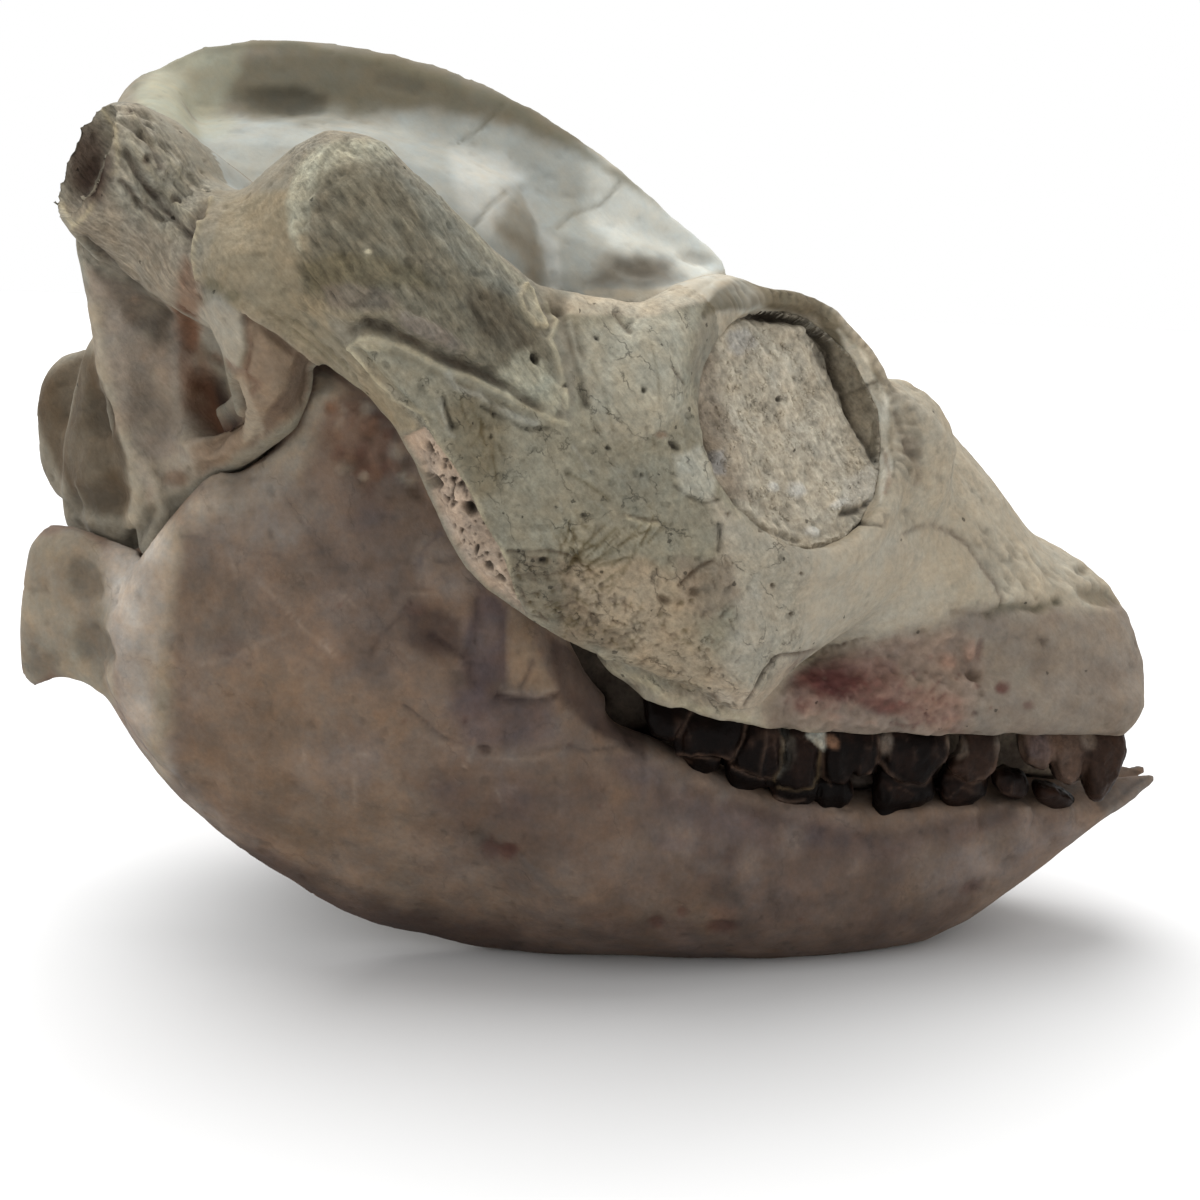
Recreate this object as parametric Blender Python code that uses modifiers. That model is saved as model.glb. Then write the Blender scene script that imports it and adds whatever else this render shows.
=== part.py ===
# Fossil oreodont skull with its lower jaw closed, life size, resting on the lower borders of the jaw.
# Sizes are in millimetres and are turned into metres where a mesh is made.
# X points forward to the snout, Y to the animal's left, Z up, and the floor is Z = 0.

import math
import random

import bpy
import bmesh
import numpy as np
from mathutils import Matrix, Vector

MM = 0.001
GAP = 0.3        # clearance between neighbouring pieces
REACH = 100.0    # further than any part of the skull reaches
SEED = 11
SHARP_ANGLE = 50.0

# Remeshing and triangle budgets
VOXEL = 0.9
SKULL_TRIANGLES = 6050
JAW_TRIANGLES = 1500

# Braincase: station x, roof z, underside z, half width
BRAINCASE = [
    (-60.0, 84.0, 62.0, 12.0), (-56.0, 93.0, 58.0, 19.0), (-48.0, 96.5, 57.0, 22.0),
    (-36.0, 97.0, 57.5, 21.0), (-25.0, 95.0, 57.0, 19.5), (-16.0, 92.0, 56.0, 16.0),
    (-9.0, 88.5, 52.0, 11.5), (0.0, 85.0, 44.0, 12.5), (8.0, 81.5, 38.0, 14.0),
]
# Face: station x, roof z, palate z, half width
FACE = [
    (-8.0, 87.0, 50.0, 10.5), (2.0, 83.2, 39.0, 14.0), (11.0, 79.8, 34.5, 18.0),
    (20.0, 74.6, 32.0, 21.0), (28.0, 70.2, 31.0, 23.0), (36.0, 65.3, 30.4, 20.5),
    (44.0, 57.5, 29.8, 17.5), (50.0, 50.5, 29.0, 15.5), (57.0, 47.2, 27.8, 12.8),
    (61.5, 43.0, 26.6, 10.5), (64.0, 37.0, 27.4, 8.0),
]
FACE_NARROW = 0.22   # how much narrower the face is above
# Sagittal crest: station x, top z
CREST = [
    (-59.5, 98.0), (-57.0, 101.5), (-50.0, 104.8), (-41.0, 105.8), (-28.0, 104.4),
    (-16.5, 100.8), (-4.5, 94.2), (3.0, 88.3), (11.0, 82.2),
]
CREST_HALF = 2.4
CREST_SPREAD = 6.0
CREST_DEPTH = 16.0
# Roof between the eyes: station x, top z, half width
BROW = [(3.0, 79.2, 18.0), (8.0, 79.2, 24.0), (14.0, 77.6, 26.5), (21.0, 73.9, 25.5), (27.0, 69.6, 22.0)]
BROW_DEPTH = 7.0
# Cheek arch: station x, upper edge z, lower edge z, outer y, thickness
ARCH = [
    (-45.0, 85.6, 78.4, 36.0, 8.0), (-41.0, 87.0, 76.0, 40.0, 9.0), (-36.0, 90.8, 73.0, 44.0, 9.5),
    (-31.0, 93.2, 70.0, 47.0, 9.5), (-27.0, 92.6, 67.4, 48.0, 9.0), (-22.5, 89.0, 61.0, 48.0, 8.5),
    (-19.0, 86.0, 52.8, 47.0, 8.0), (-16.5, 83.6, 49.3, 46.6, 7.8), (-14.0, 81.6, 47.4, 46.0, 7.5),
    (-10.5, 79.0, 44.8, 45.0, 7.0), (-4.0, 78.2, 41.2, 43.5, 7.0), (2.0, 77.0, 39.0, 41.5, 7.0),
    (7.0, 64.0, 37.0, 40.0, 6.5),
    (12.3, 57.0, 34.0, 38.0, 6.8), (16.0, 56.0, 37.0, 35.8, 7.8), (21.5, 56.5, 40.5, 32.0, 9.0),
    (28.0, 58.0, 43.5, 27.0, 10.0), (34.0, 57.0, 47.0, 21.5, 8.0),
]
ARCH_BOW = 3.0
# Orbit: centre, direction to its front rim, direction out of the head, half length and height
ORBIT_CENTRE = (16.9, 31.1, 65.4)
ORBIT_FORWARD = (0.864, -0.484, -0.132)
ORBIT_OUT = (0.489, 0.804, 0.339)
ORBIT_HALF_LENGTH = 12.9
ORBIT_HALF_HEIGHT = 13.2
ORBIT_RIM = 1.8         # radius of the raised rim at the top
ORBIT_RIM_LOW = 1.2     # how much thicker it is below
ORBIT_DEPTH = 15.0
MATRIX_RECESS = 2.0
MATRIX_ROUGH = 0.8
# Postorbital bar: points and radii
POSTORBITAL = [
    ((-1.0, 39.0, 67.0), 5.0), ((0.5, 37.5, 72.0), 4.6), ((4.0, 33.0, 75.6), 4.0), ((9.0, 25.0, 77.0), 3.8),
]
# Ear tube, with a slanting mouth that looks backwards, and the bone that runs from it to the cheek arch
EAR_BASE = (-45.5, 22.5, 80.5)
EAR_TIP = (-55.2, 33.6, 90.0)
EAR_RADII = (8.8, 8.0)
EAR_MOUTH = (-56.4, 33.2, 89.6)
EAR_MOUTH_OUT = (-0.81, 0.48, 0.34)
EAR_HOLLOW = [(-4.6, 3.6), (-1.6, 5.8), (8.0, 7.4)]   # distance along that direction, radius
EAR_BRIDGE = [((-49.5, 28.5, 83.5), 6.6), ((-43.0, 33.5, 80.4), 7.0), ((-36.0, 37.0, 79.0), 7.0)]
# Nuchal crest from the inion down to the ear tube
NUCHAL = [
    ((-56.5, 0.0, 97.5), 4.0), ((-55.5, 8.0, 95.0), 4.4), ((-53.5, 15.0, 91.5), 4.8),
    ((-51.0, 21.0, 87.0), 5.0),
]
# Rounded masses: centre, radii, squareness
OCCIPUT = ((-52.5, 0.0, 72.5), (7.5, 24.0, 18.0), 2.6)
GLENOID = ((-37.0, 28.0, 78.4), (8.5, 17.0, 7.5), 2.5)
# Plate that hangs behind the jaw joint, from the root of the cheek arch
POSTGLENOID = [((-38.5, 37.5, 76.0), 5.0), ((-37.5, 37.5, 70.5), 4.6), ((-38.0, 34.0, 66.0), 3.8)]
POSTGLENOID_EDGE = [((-37.0, 36.5, 69.0), 4.0), ((-38.8, 32.0, 65.2), 3.6),
                    ((-42.5, 27.0, 62.2), 3.6), ((-46.5, 23.5, 59.2), 3.2)]
CONDYLE = ((-63.0, 8.0, 60.0), (6.2, 5.4, 9.5), 2.4)
BULLA = ((-38.5, 14.5, 54.5), (9.5, 7.5, 8.5), 2.1)
PAROCCIPITAL = [((-57.0, 16.0, 68.0), 5.0), ((-60.0, 14.0, 58.0), 4.6), ((-62.0, 12.5, 51.0), 3.4)]
MASTOID = ((-46.5, 18.0, 62.0), (9.5, 6.5, 15.0), 2.5)
MASTOID_RIDGE = [((-56.2, 25.5, 82.0), 3.6), ((-56.1, 22.0, 73.4), 3.1), ((-55.0, 21.5, 64.0), 2.9),
                 ((-52.8, 22.0, 56.0), 2.9), ((-51.4, 22.5, 49.0), 2.9)]
MASTOID_BLADE = ((-57.5, 16.5, 55.0), (5.0, 5.0, 8.0), 2.2)
FORAMEN = ((-66.0, 0.0, 70.0), (8.0, 5.5, 5.0), 2.0)
NARES = ((61.5, 0.0, 43.5), (9.0, 4.8, 6.5), 2.3)
# Swelling of the cheek in front of the orbit
TEAR_CORNER = ((27.0, 17.0, 60.0), (9.5, 7.5, 10.0), 2.2)
# Upper tooth bearing edge
UPPER_EDGE = [
    ((-1.0, 23.4, 39.5), 3.4), ((5.0, 22.8, 36.4), 3.8), ((12.0, 21.8, 34.8), 4.0), ((20.0, 20.6, 33.7), 4.2),
    ((30.0, 18.5, 33.0), 4.2), ((41.0, 15.5, 32.5), 4.2), ((51.0, 12.5, 31.8), 4.2), ((59.0, 9.6, 31.0), 4.4),
]
# Lower jaw: station x, top z, bottom z, outer y, thickness, how far the lower border tucks in
JAW = [
    (-59.0, 43.0, 30.2, 23.5, 5.0, 3.5), (-55.0, 46.0, 24.2, 26.0, 6.5, 3.5),
    (-50.0, 50.0, 19.0, 28.5, 8.0, 3.8), (-45.0, 55.0, 14.6, 30.0, 7.5, 5.0),
    (-39.0, 61.5, 10.2, 31.0, 7.0, 7.0), (-33.0, 68.0, 5.7, 31.5, 7.0, 9.0),
    (-27.0, 68.0, 2.8, 32.0, 7.0, 11.0), (-20.0, 71.0, 1.1, 32.0, 7.0, 12.0),
    (-15.0, 66.0, -0.2, 31.5, 7.5, 12.0), (-9.0, 46.0, -0.5, 30.8, 8.5, 11.0),
    (-4.0, 36.0, -0.6, 30.0, 9.0, 10.4), (3.0, 30.0, -0.7, 28.3, 10.0, 9.0),
    (11.0, 25.6, -0.8, 26.0, 10.5, 6.6), (20.0, 22.4, -0.8, 23.4, 10.5, 4.4),
    (30.0, 21.0, -0.6, 20.5, 11.0, 3.6), (37.0, 21.0, -0.5, 18.0, 13.0, 3.5),
    (42.0, 21.0, 0.6, 16.0, 15.0, 3.5), (48.0, 20.6, 4.3, 13.8, 13.8, 3.5),
    (55.0, 19.8, 9.6, 11.0, 11.0, 3.5), (61.0, 19.4, 14.4, 8.4, 8.4, 3.5),
    (65.5, 19.6, 17.2, 5.5, 5.5, 3.5),
]
JAW_BOW = 0.8
JAW_TIP = [((60.0, 4.0, 17.0), 2.6), ((65.0, 2.6, 18.4), 1.6), ((68.3, 1.6, 19.6), 0.8)]
JAW_BACK = [
    ((-44.0, 26.5, 55.0), 3.2), ((-50.0, 25.0, 46.0), 4.2), ((-53.5, 24.0, 37.0), 4.8),
    ((-49.0, 24.5, 28.0), 4.4),
]
JAW_CONDYLE = [((-34.0, 19.0, 65.5), 3.6), ((-33.5, 24.0, 66.0), 3.8), ((-33.0, 27.5, 65.6), 3.4)]
# Rock between the jaws: station x, top z, bottom z, half width below, half width between the teeth
JAW_ROCK = [
    (-17.0, 50.0, 22.0, 18.0, 15.0), (-9.0, 49.0, 14.0, 21.5, 16.5), (0.0, 43.0, 10.0, 20.5, 17.5),
    (10.0, 38.0, 8.5, 17.5, 16.5), (22.0, 36.0, 8.0, 14.5, 14.5), (34.0, 35.0, 8.5, 10.5, 11.5),
    (42.0, 34.0, 12.0, 7.0, 9.0), (50.0, 33.0, 16.0, 4.5, 7.5), (57.0, 31.5, 18.5, 3.0, 6.0),
]
ROCK_SHOULDER = 17.0
# Hooked plate behind the angle of the jaw: station x, top z, bottom z, outer y, thickness
JAW_HOOK = [(-69.0, 39.0, 33.0, 19.5, 3.0), (-67.5, 48.5, 31.0, 20.5, 4.5), (-64.0, 51.0, 33.0, 22.0, 5.0),
            (-58.0, 49.5, 31.0, 24.0, 6.0), (-52.0, 48.0, 28.0, 26.0, 6.0)]
REST_LEVEL = 0.0
# Teeth from front to back: centre x, crown length, crown height
UPPER_TEETH = [
    (58.3, 6.0, 7.4), (52.8, 4.2, 4.6), (48.0, 5.6, 5.0), (41.8, 6.6, 5.2), (34.3, 8.0, 5.4),
    (26.6, 7.2, 5.8), (20.6, 5.0, 6.4), (15.4, 5.4, 6.8), (9.6, 6.2, 7.0), (3.6, 5.6, 6.4),
]
LOWER_TEETH = [
    (53.6, 4.8, 6.0), (47.2, 6.0, 6.2), (40.2, 6.4, 6.2), (33.0, 7.4, 6.8), (25.4, 6.2, 7.0),
    (19.4, 5.4, 6.4), (14.2, 5.0, 5.4), (9.0, 4.8, 4.4), (3.8, 5.0, 3.6),
]
# Level of the bite and sideways place of the teeth along the row
BITE = [(-6.0, 32.0), (0.0, 29.6), (6.0, 27.4), (12.0, 25.7), (20.0, 24.4), (30.0, 23.8), (59.0, 23.0)]
TOOTH_Y = [(-6.0, 26.0), (4.0, 25.0), (12.0, 24.0), (20.0, 22.4), (30.0, 19.5), (51.0, 13.4), (60.0, 10.4)]
TOOTH_WIDTH = 4.6
FRONT_WIDTH = 0.75   # share of that width in the front teeth
FRONT_FROM = 45.0
CANINE_FROM = 55.0
CANINE_TIP = 0.45    # how far a crown narrows to its tip
CROWN_TIP = 0.7
TOOTH_LEAN = 0.25
TOOTH_ROOT = 3.0
LOWER_INSET = 1.4

# Thin cuts that part the skull: centre, direction across the cut, size
SNOUT_CUT = ((-6.0, 0.0, 65.0), (1.0, 0.0, 0.0), (90.0, 50.0))
SIDE_CUTS = [
    ((-48.8, 29.6, 82.6), (-0.5, 0.8, 0.33), (28.0, 28.0)),
    ((-37.5, 31.3, 74.5), (0.537, 0.844, 0.0), (32.0, 33.0)),
    ((18.0, 34.5, 46.5), (1.0, 0.0, 0.0), (24.0, 23.0)),
    ((5.0, 33.0, 75.5), (0.55, -0.75, 0.35), (22.0, 20.0)),
]
SCRAP_FACES = 60
PART_CENTRES = {
    "snout": (28.0, 0.0, 52.0), "braincase": (-36.0, 0.0, 75.0),
    "zygomatic_arch_left": (-13.0, 37.0, 63.0), "zygomatic_arch_right": (-13.0, -37.0, 63.0),
    "ear_tube_left": (-52.0, 32.0, 88.0), "ear_tube_right": (-52.0, -32.0, 88.0),
}

BONE_GREY = (0.45, 0.42, 0.34)
BONE_BROWN = (0.29, 0.23, 0.19)
ROCK_PINK = (0.50, 0.41, 0.34)


def clear_scene():
    for item in list(bpy.data.objects):
        bpy.data.objects.remove(item, do_unlink=True)


def make_collection(name):
    found = bpy.data.collections.get(name)
    if found is None:
        found = bpy.data.collections.new(name)
        bpy.context.scene.collection.children.link(found)
    return found


def add_object(name, mesh, collection):
    item = bpy.data.objects.new(name, mesh)
    collection.objects.link(item)
    return item


def mesh_object(name, points, faces, collection):
    mesh = bpy.data.meshes.new(name)
    mesh.from_pydata([tuple(MM * c for c in p) for p in points], [], faces)
    mesh.update()
    return add_object(name, mesh, collection)


def curve_value(keys, x, column=1):
    # Smooth curve through the keys that never overshoots them
    xs = np.array([k[0] for k in keys], float)
    ys = np.array([k[column] for k in keys], float)
    x = min(max(x, xs[0]), xs[-1])
    step = np.diff(xs)
    slope = np.diff(ys) / step
    tangent = np.zeros(len(xs))
    tangent[0], tangent[-1] = slope[0], slope[-1]
    for i in range(1, len(xs) - 1):
        if slope[i - 1] * slope[i] > 0:
            a = 2 * step[i] + step[i - 1]
            b = step[i] + 2 * step[i - 1]
            tangent[i] = (a + b) / (a / slope[i - 1] + b / slope[i])
    i = min(int(np.searchsorted(xs, x, side="right")) - 1, len(xs) - 2)
    t = (x - xs[i]) / step[i]
    h = step[i]
    return float(
        (2 * t**3 - 3 * t**2 + 1) * ys[i] + (t**3 - 2 * t**2 + t) * h * tangent[i]
        + (3 * t**2 - 2 * t**3) * ys[i + 1] + (t**3 - t**2) * h * tangent[i + 1]
    )


def signed_power(value, power):
    return math.copysign(abs(value) ** power, value)


def loft(name, rings, collection):
    points = [p for ring in rings for p in ring]
    count = len(rings[0])
    faces = []
    for r in range(len(rings) - 1):
        for i in range(count):
            j = (i + 1) % count
            faces.append((r * count + i, r * count + j, (r + 1) * count + j, (r + 1) * count + i))
    faces.append(tuple(reversed(range(count))))
    last = (len(rings) - 1) * count
    faces.append(tuple(range(last, last + count)))
    item = mesh_object(name, points, faces, collection)
    return face_outwards(item)


def face_outwards(item):
    work = bmesh.new()
    work.from_mesh(item.data)
    bmesh.ops.recalc_face_normals(work, faces=work.faces)
    work.to_mesh(item.data)
    work.free()
    return item


def steps_between(start, end, spacing):
    count = max(2, int(round((end - start) / spacing)) + 1)
    return [start + (end - start) * i / (count - 1) for i in range(count)]


def section(x, centre_y, half, bottom, top, square, sides, bow=0.0, tuck=0.0, narrow=0.0):
    # One cross-section: a squared oval, bowed sideways, tucked in below and narrowed above
    middle, height = (top + bottom) / 2, (top - bottom) / 2
    ring = []
    for i in range(sides):
        angle = 2 * math.pi * i / sides
        u = signed_power(math.cos(angle), 2 / square)
        v = signed_power(math.sin(angle), 2 / square)
        shift = -bow * v * v - tuck * max(0.0, -v) ** 2
        ring.append((x, centre_y + half * u * (1 - narrow * max(0.0, v)) + shift, middle + height * v))
    return ring


def central_form(name, keys, square, narrow, collection, sides=28):
    rings = []
    for x in steps_between(keys[0][0], keys[-1][0], 2.0):
        top, bottom, half = (curve_value(keys, x, c) for c in (1, 2, 3))
        rings.append(section(x, 0.0, half, bottom, top, square, sides, narrow=narrow))
    return loft(name, rings, collection)


def side_plate(name, keys, side, square, bow, collection, sides=24):
    rings = []
    for x in steps_between(keys[0][0], keys[-1][0], 1.5):
        top, bottom, outer, thick = (curve_value(keys, x, c) for c in (1, 2, 3, 4))
        tuck = curve_value(keys, x, 5) if len(keys[0]) > 5 else 0.0
        ring = section(x, outer - thick / 2, thick / 2, bottom, top, square, sides, bow, tuck)
        rings.append([(px, side * py, pz) for px, py, pz in ring])
    return loft(name, rings, collection)


def round_form(name, centre, radii, square, side, collection, sides=24):
    rings = []
    for k in range(1, sides // 2):
        polar = math.pi * k / (sides // 2)
        ring = []
        for i in range(sides):
            angle = 2 * math.pi * i / sides
            w = signed_power(math.cos(polar), 2 / square)
            u = signed_power(math.sin(polar), 2 / square) * signed_power(math.cos(angle), 2 / square)
            v = signed_power(math.sin(polar), 2 / square) * signed_power(math.sin(angle), 2 / square)
            y = side * (centre[1] + radii[1] * u)
            ring.append((centre[0] + radii[0] * w, y, centre[2] + radii[2] * v))
        rings.append(ring)
    return loft(name, rings, collection)


def rod(name, keys, side, collection, sides=14):
    # A rounded rod whose thickness follows the radius at each point
    centres = [Vector((p[0], side * p[1], p[2])) for p, _ in keys]
    path, sizes = smooth_path(centres, [r for _, r in keys])
    rings = []
    across = Vector((0.31, 0.83, 0.46))
    for i, point in enumerate(path):
        along = (path[min(i + 1, len(path) - 1)] - path[max(i - 1, 0)]).normalized()
        across = (across - along * across.dot(along)).normalized()
        over = across.cross(along)
        ring = []
        for k in range(sides):
            angle = 2 * math.pi * k / sides
            ring.append(tuple(point + sizes[i] * (math.cos(angle) * across + math.sin(angle) * over)))
        rings.append(ring)
    return loft(name, round_ends(rings, path, sizes), collection)


def smooth_path(centres, radii, spacing=1.5):
    path, sizes = [], []
    count = len(centres)
    for s in range(count - 1):
        p = [centres[min(max(s + k, 0), count - 1)] for k in (-1, 0, 1, 2)]
        pieces = max(2, int((p[2] - p[1]).length / spacing))
        for k in range(pieces):
            t = k / pieces
            point = 0.5 * (
                2 * p[1] + (p[2] - p[0]) * t + (2 * p[0] - 5 * p[1] + 4 * p[2] - p[3]) * t**2
                + (3 * p[1] - p[0] - 3 * p[2] + p[3]) * t**3
            )
            path.append(point)
            sizes.append(radii[s] + (radii[s + 1] - radii[s]) * t)
    path.append(centres[-1])
    sizes.append(radii[-1])
    return path, sizes


def round_ends(rings, path, sizes):
    # Adds small domed ends to a rod
    first, last = path[0], path[-1]
    before = (first - path[1]).normalized()
    after = (last - path[-2]).normalized()
    start = [domed(rings[0], first, before * sizes[0], lean) for lean in (0.85, 0.5)]
    end = [domed(rings[-1], last, after * sizes[-1], lean) for lean in (0.5, 0.85)]
    return start + rings + end


def domed(ring, centre, reach, lean):
    shrink = math.sqrt(1 - lean * lean)
    return [tuple(centre + (Vector(p) - centre) * shrink + reach * lean) for p in ring]


def orbit_axes(side):
    out = Vector((ORBIT_OUT[0], side * ORBIT_OUT[1], ORBIT_OUT[2])).normalized()
    forward = Vector((ORBIT_FORWARD[0], side * ORBIT_FORWARD[1], ORBIT_FORWARD[2])).normalized()
    rise = (forward.cross(out) * side).normalized()
    centre = Vector((ORBIT_CENTRE[0], side * ORBIT_CENTRE[1], ORBIT_CENTRE[2]))
    return centre, forward, rise, out


def orbit_rim(side, collection):
    centre, forward, rise, out = orbit_axes(side)
    keys = []
    for k in range(20):
        angle = 2 * math.pi * k / 20
        size = ORBIT_RIM + ORBIT_RIM_LOW * max(0.0, -math.sin(angle))
        across = forward * (ORBIT_HALF_LENGTH + size / 3) * math.cos(angle)
        upward = rise * (ORBIT_HALF_HEIGHT + size / 3) * math.sin(angle)
        point = centre + across + upward - out * size * 0.9
        keys.append(((point.x, side * point.y, point.z), size))
    keys.append(keys[0])
    return rod("rim", keys, side, collection)


def orbit_bowl(name, side, shrink, front, collection, rough=0.0):
    # Egg-shaped hollow of the orbit, or the rock that fills it when shrunk and cut off at the front
    centre, forward, rise, out = orbit_axes(side)
    draw = random.Random(SEED)
    rings = []
    around, deep = 24, 9
    for r in range(1, deep + 1):
        polar = math.pi * r / (deep + 1)
        reach_out = ORBIT_DEPTH * math.cos(polar)
        wide = math.sin(polar) ** 0.8
        ring = []
        for k in range(around):
            angle = 2 * math.pi * k / around
            bump = rough * (draw.random() - 0.5)
            depth = min(reach_out * (1 - shrink / ORBIT_DEPTH), front + bump)
            point = (
                centre + forward * (ORBIT_HALF_LENGTH - shrink) * wide * math.cos(angle)
                + rise * (ORBIT_HALF_HEIGHT - shrink) * wide * math.sin(angle) + out * depth
            )
            ring.append(tuple(point))
        rings.append(ring)
    return loft(name, rings, collection)


def bake(item):
    graph = bpy.context.evaluated_depsgraph_get()
    mesh = bpy.data.meshes.new_from_object(item.evaluated_get(graph))
    old = item.data
    item.modifiers.clear()
    item.data = mesh
    bpy.data.meshes.remove(old)
    return item


def join_forms(name, forms, collection):
    work = bmesh.new()
    for form in forms:
        work.from_mesh(form.data)
    mesh = bpy.data.meshes.new(name)
    work.to_mesh(mesh)
    work.free()
    for form in forms:
        bpy.data.objects.remove(form, do_unlink=True)
    return add_object(name, mesh, collection)


def fuse(item, voxel, smoothing):
    remesh = item.modifiers.new("Remesh", "REMESH")
    remesh.mode = "VOXEL"
    remesh.voxel_size = voxel * MM
    smooth = item.modifiers.new("Smooth", "SMOOTH")
    smooth.factor = 0.5
    smooth.iterations = smoothing
    bake(item)
    return keep_largest(item)


def thin_out(item, triangles):
    work = bmesh.new()
    work.from_mesh(item.data)
    bmesh.ops.triangulate(work, faces=work.faces)
    total = len(work.faces)
    work.to_mesh(item.data)
    work.free()
    reduce = item.modifiers.new("Decimate", "DECIMATE")
    reduce.ratio = min(1.0, triangles / total)
    return bake(item)


def boolean(item, cutters, operation, solver="MANIFOLD"):
    for cutter in cutters:
        step = item.modifiers.new("Boolean", "BOOLEAN")
        step.operation = operation
        step.solver = solver
        step.object = cutter
        bake(item)
    for cutter in cutters:
        bpy.data.objects.remove(cutter, do_unlink=True)
    return item


def unite_collection(item, pieces):
    step = item.modifiers.new("Boolean", "BOOLEAN")
    step.operation = "UNION"
    step.solver = "MANIFOLD"
    step.operand_type = "COLLECTION"
    step.collection = pieces
    bake(item)
    for piece in list(pieces.objects):
        bpy.data.objects.remove(piece, do_unlink=True)
    return item


def islands(mesh):
    work = bmesh.new()
    work.from_mesh(mesh)
    work.faces.ensure_lookup_table()
    seen = set()
    groups = []
    for face in work.faces:
        if face.index in seen:
            continue
        stack, group = [face], []
        seen.add(face.index)
        while stack:
            current = stack.pop()
            group.append(current.index)
            for edge in current.edges:
                for other in edge.link_faces:
                    if other.index not in seen:
                        seen.add(other.index)
                        stack.append(other)
        groups.append(group)
    work.free()
    return groups


def extract(item, group, name, collection):
    work = bmesh.new()
    work.from_mesh(item.data)
    work.faces.ensure_lookup_table()
    wanted = set(group)
    bmesh.ops.delete(work, geom=[f for f in work.faces if f.index not in wanted], context="FACES")
    mesh = bpy.data.meshes.new(name)
    work.to_mesh(mesh)
    work.free()
    return add_object(name, mesh, collection)


def keep_largest(item):
    groups = islands(item.data)
    if len(groups) > 1:
        kept = extract(item, max(groups, key=len), item.name, item.users_collection[0])
        item.data = kept.data
        bpy.data.objects.remove(kept, do_unlink=True)
    return item


def centre_of(item):
    points = np.array([v.co for v in item.data.vertices])
    return Vector((points.min(axis=0) + points.max(axis=0)) / 2 / MM)


def slab(name, centre, normal, size, collection):
    # A sheet as thick as the gap, standing across the given direction
    turn = Vector(normal).to_track_quat("Z", "X").to_matrix().to_4x4()
    scale = Matrix.Diagonal((size[0] * MM, size[1] * MM, GAP * MM, 1.0))
    return cube(name, Matrix.Translation(Vector(centre) * MM) @ turn @ scale, collection)


def block(name, low, high, collection):
    middle = (Vector(low) + Vector(high)) * 0.5 * MM
    scale = [(b - a) * MM for a, b in zip(low, high)]
    return cube(name, Matrix.Translation(middle) @ Matrix.Diagonal((*scale, 1.0)), collection)


def cube(name, placing, collection):
    work = bmesh.new()
    bmesh.ops.create_cube(work, size=1.0)
    work.transform(placing)
    mesh = bpy.data.meshes.new(name)
    work.to_mesh(mesh)
    work.free()
    return add_object(name, mesh, collection)


def material(name, colour, roughness):
    found = bpy.data.materials.new(name)
    found.use_nodes = True
    shader = found.node_tree.nodes["Principled BSDF"]
    shader.inputs["Base Color"].default_value = (*colour, 1.0)
    shader.inputs["Roughness"].default_value = roughness
    shader.inputs["Metallic"].default_value = 0.0
    return found


def dress(item, colour, roughness):
    item.data.materials.clear()
    item.data.materials.append(material(item.name, colour, roughness))
    item.data.shade_smooth()
    item.data.set_sharp_from_angle(angle=math.radians(SHARP_ANGLE))


def ear_axis():
    return (Vector(EAR_TIP) - Vector(EAR_BASE)).normalized()


def ear_tube(side, forms):
    short = Vector(EAR_TIP) - ear_axis() * EAR_RADII[1] * 0.5
    keys = [(EAR_BASE, EAR_RADII[0]), (tuple(short), EAR_RADII[1])]
    return rod("ear", keys, side, forms, sides=20)


def ear_hole(side, forms):
    # Bowl sunk slantwise into the outer end of the tube
    out = Vector(EAR_MOUTH_OUT).normalized()
    keys = [(tuple(Vector(EAR_MOUTH) + out * reach), radius) for reach, radius in EAR_HOLLOW]
    return rod("earHole", keys, side, forms, sides=16)


def crest(forms):
    rings = []
    for x in steps_between(CREST[0][0], CREST[-1][0], 1.5):
        top = curve_value(CREST, x)
        ring = []
        for i in range(20):
            angle = 2 * math.pi * i / 20
            depth = (1 - math.sin(angle)) / 2
            half = CREST_HALF + CREST_SPREAD * depth ** 2
            ring.append((x, half * math.cos(angle), top - CREST_DEPTH * depth))
        rings.append(ring)
    return loft("crest", rings, forms)


def brow(forms):
    rings = []
    for x in steps_between(BROW[0][0], BROW[-1][0], 1.5):
        top, half = curve_value(BROW, x, 1), curve_value(BROW, x, 2)
        rings.append(section(x, 0.0, half, top - BROW_DEPTH, top, 2.6, 32))
    return loft("brow", rings, forms)


def skull_forms(forms):
    made = [
        central_form("braincase", BRAINCASE, 2.2, 0.0, forms),
        central_form("face", FACE, 2.6, FACE_NARROW, forms),
        crest(forms),
        brow(forms),
        round_form("occiput", *OCCIPUT, 1, forms),
    ]
    for side in (1, -1):
        made += [
            side_plate("arch", ARCH, side, 2.6, ARCH_BOW, forms),
            round_form("glenoid", *GLENOID, side, forms),
            round_form("condyle", *CONDYLE, side, forms),
            round_form("bulla", *BULLA, side, forms),
            rod("postglenoid", POSTGLENOID, side, forms),
            rod("postglenoidEdge", POSTGLENOID_EDGE, side, forms),
            rod("postorbital", POSTORBITAL, side, forms),
            rod("nuchal", NUCHAL, side, forms),
            rod("paroccipital", PAROCCIPITAL, side, forms),
            round_form("mastoid", *MASTOID, side, forms),
            round_form("mastoidBlade", *MASTOID_BLADE, side, forms),
            rod("mastoidRidge", MASTOID_RIDGE, side, forms),
            rod("upperEdge", UPPER_EDGE, side, forms),
            round_form("tearCorner", *TEAR_CORNER, side, forms),
            orbit_rim(side, forms),
            ear_tube(side, forms),
            rod("earBridge", EAR_BRIDGE, side, forms),
        ]
    return made


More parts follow.
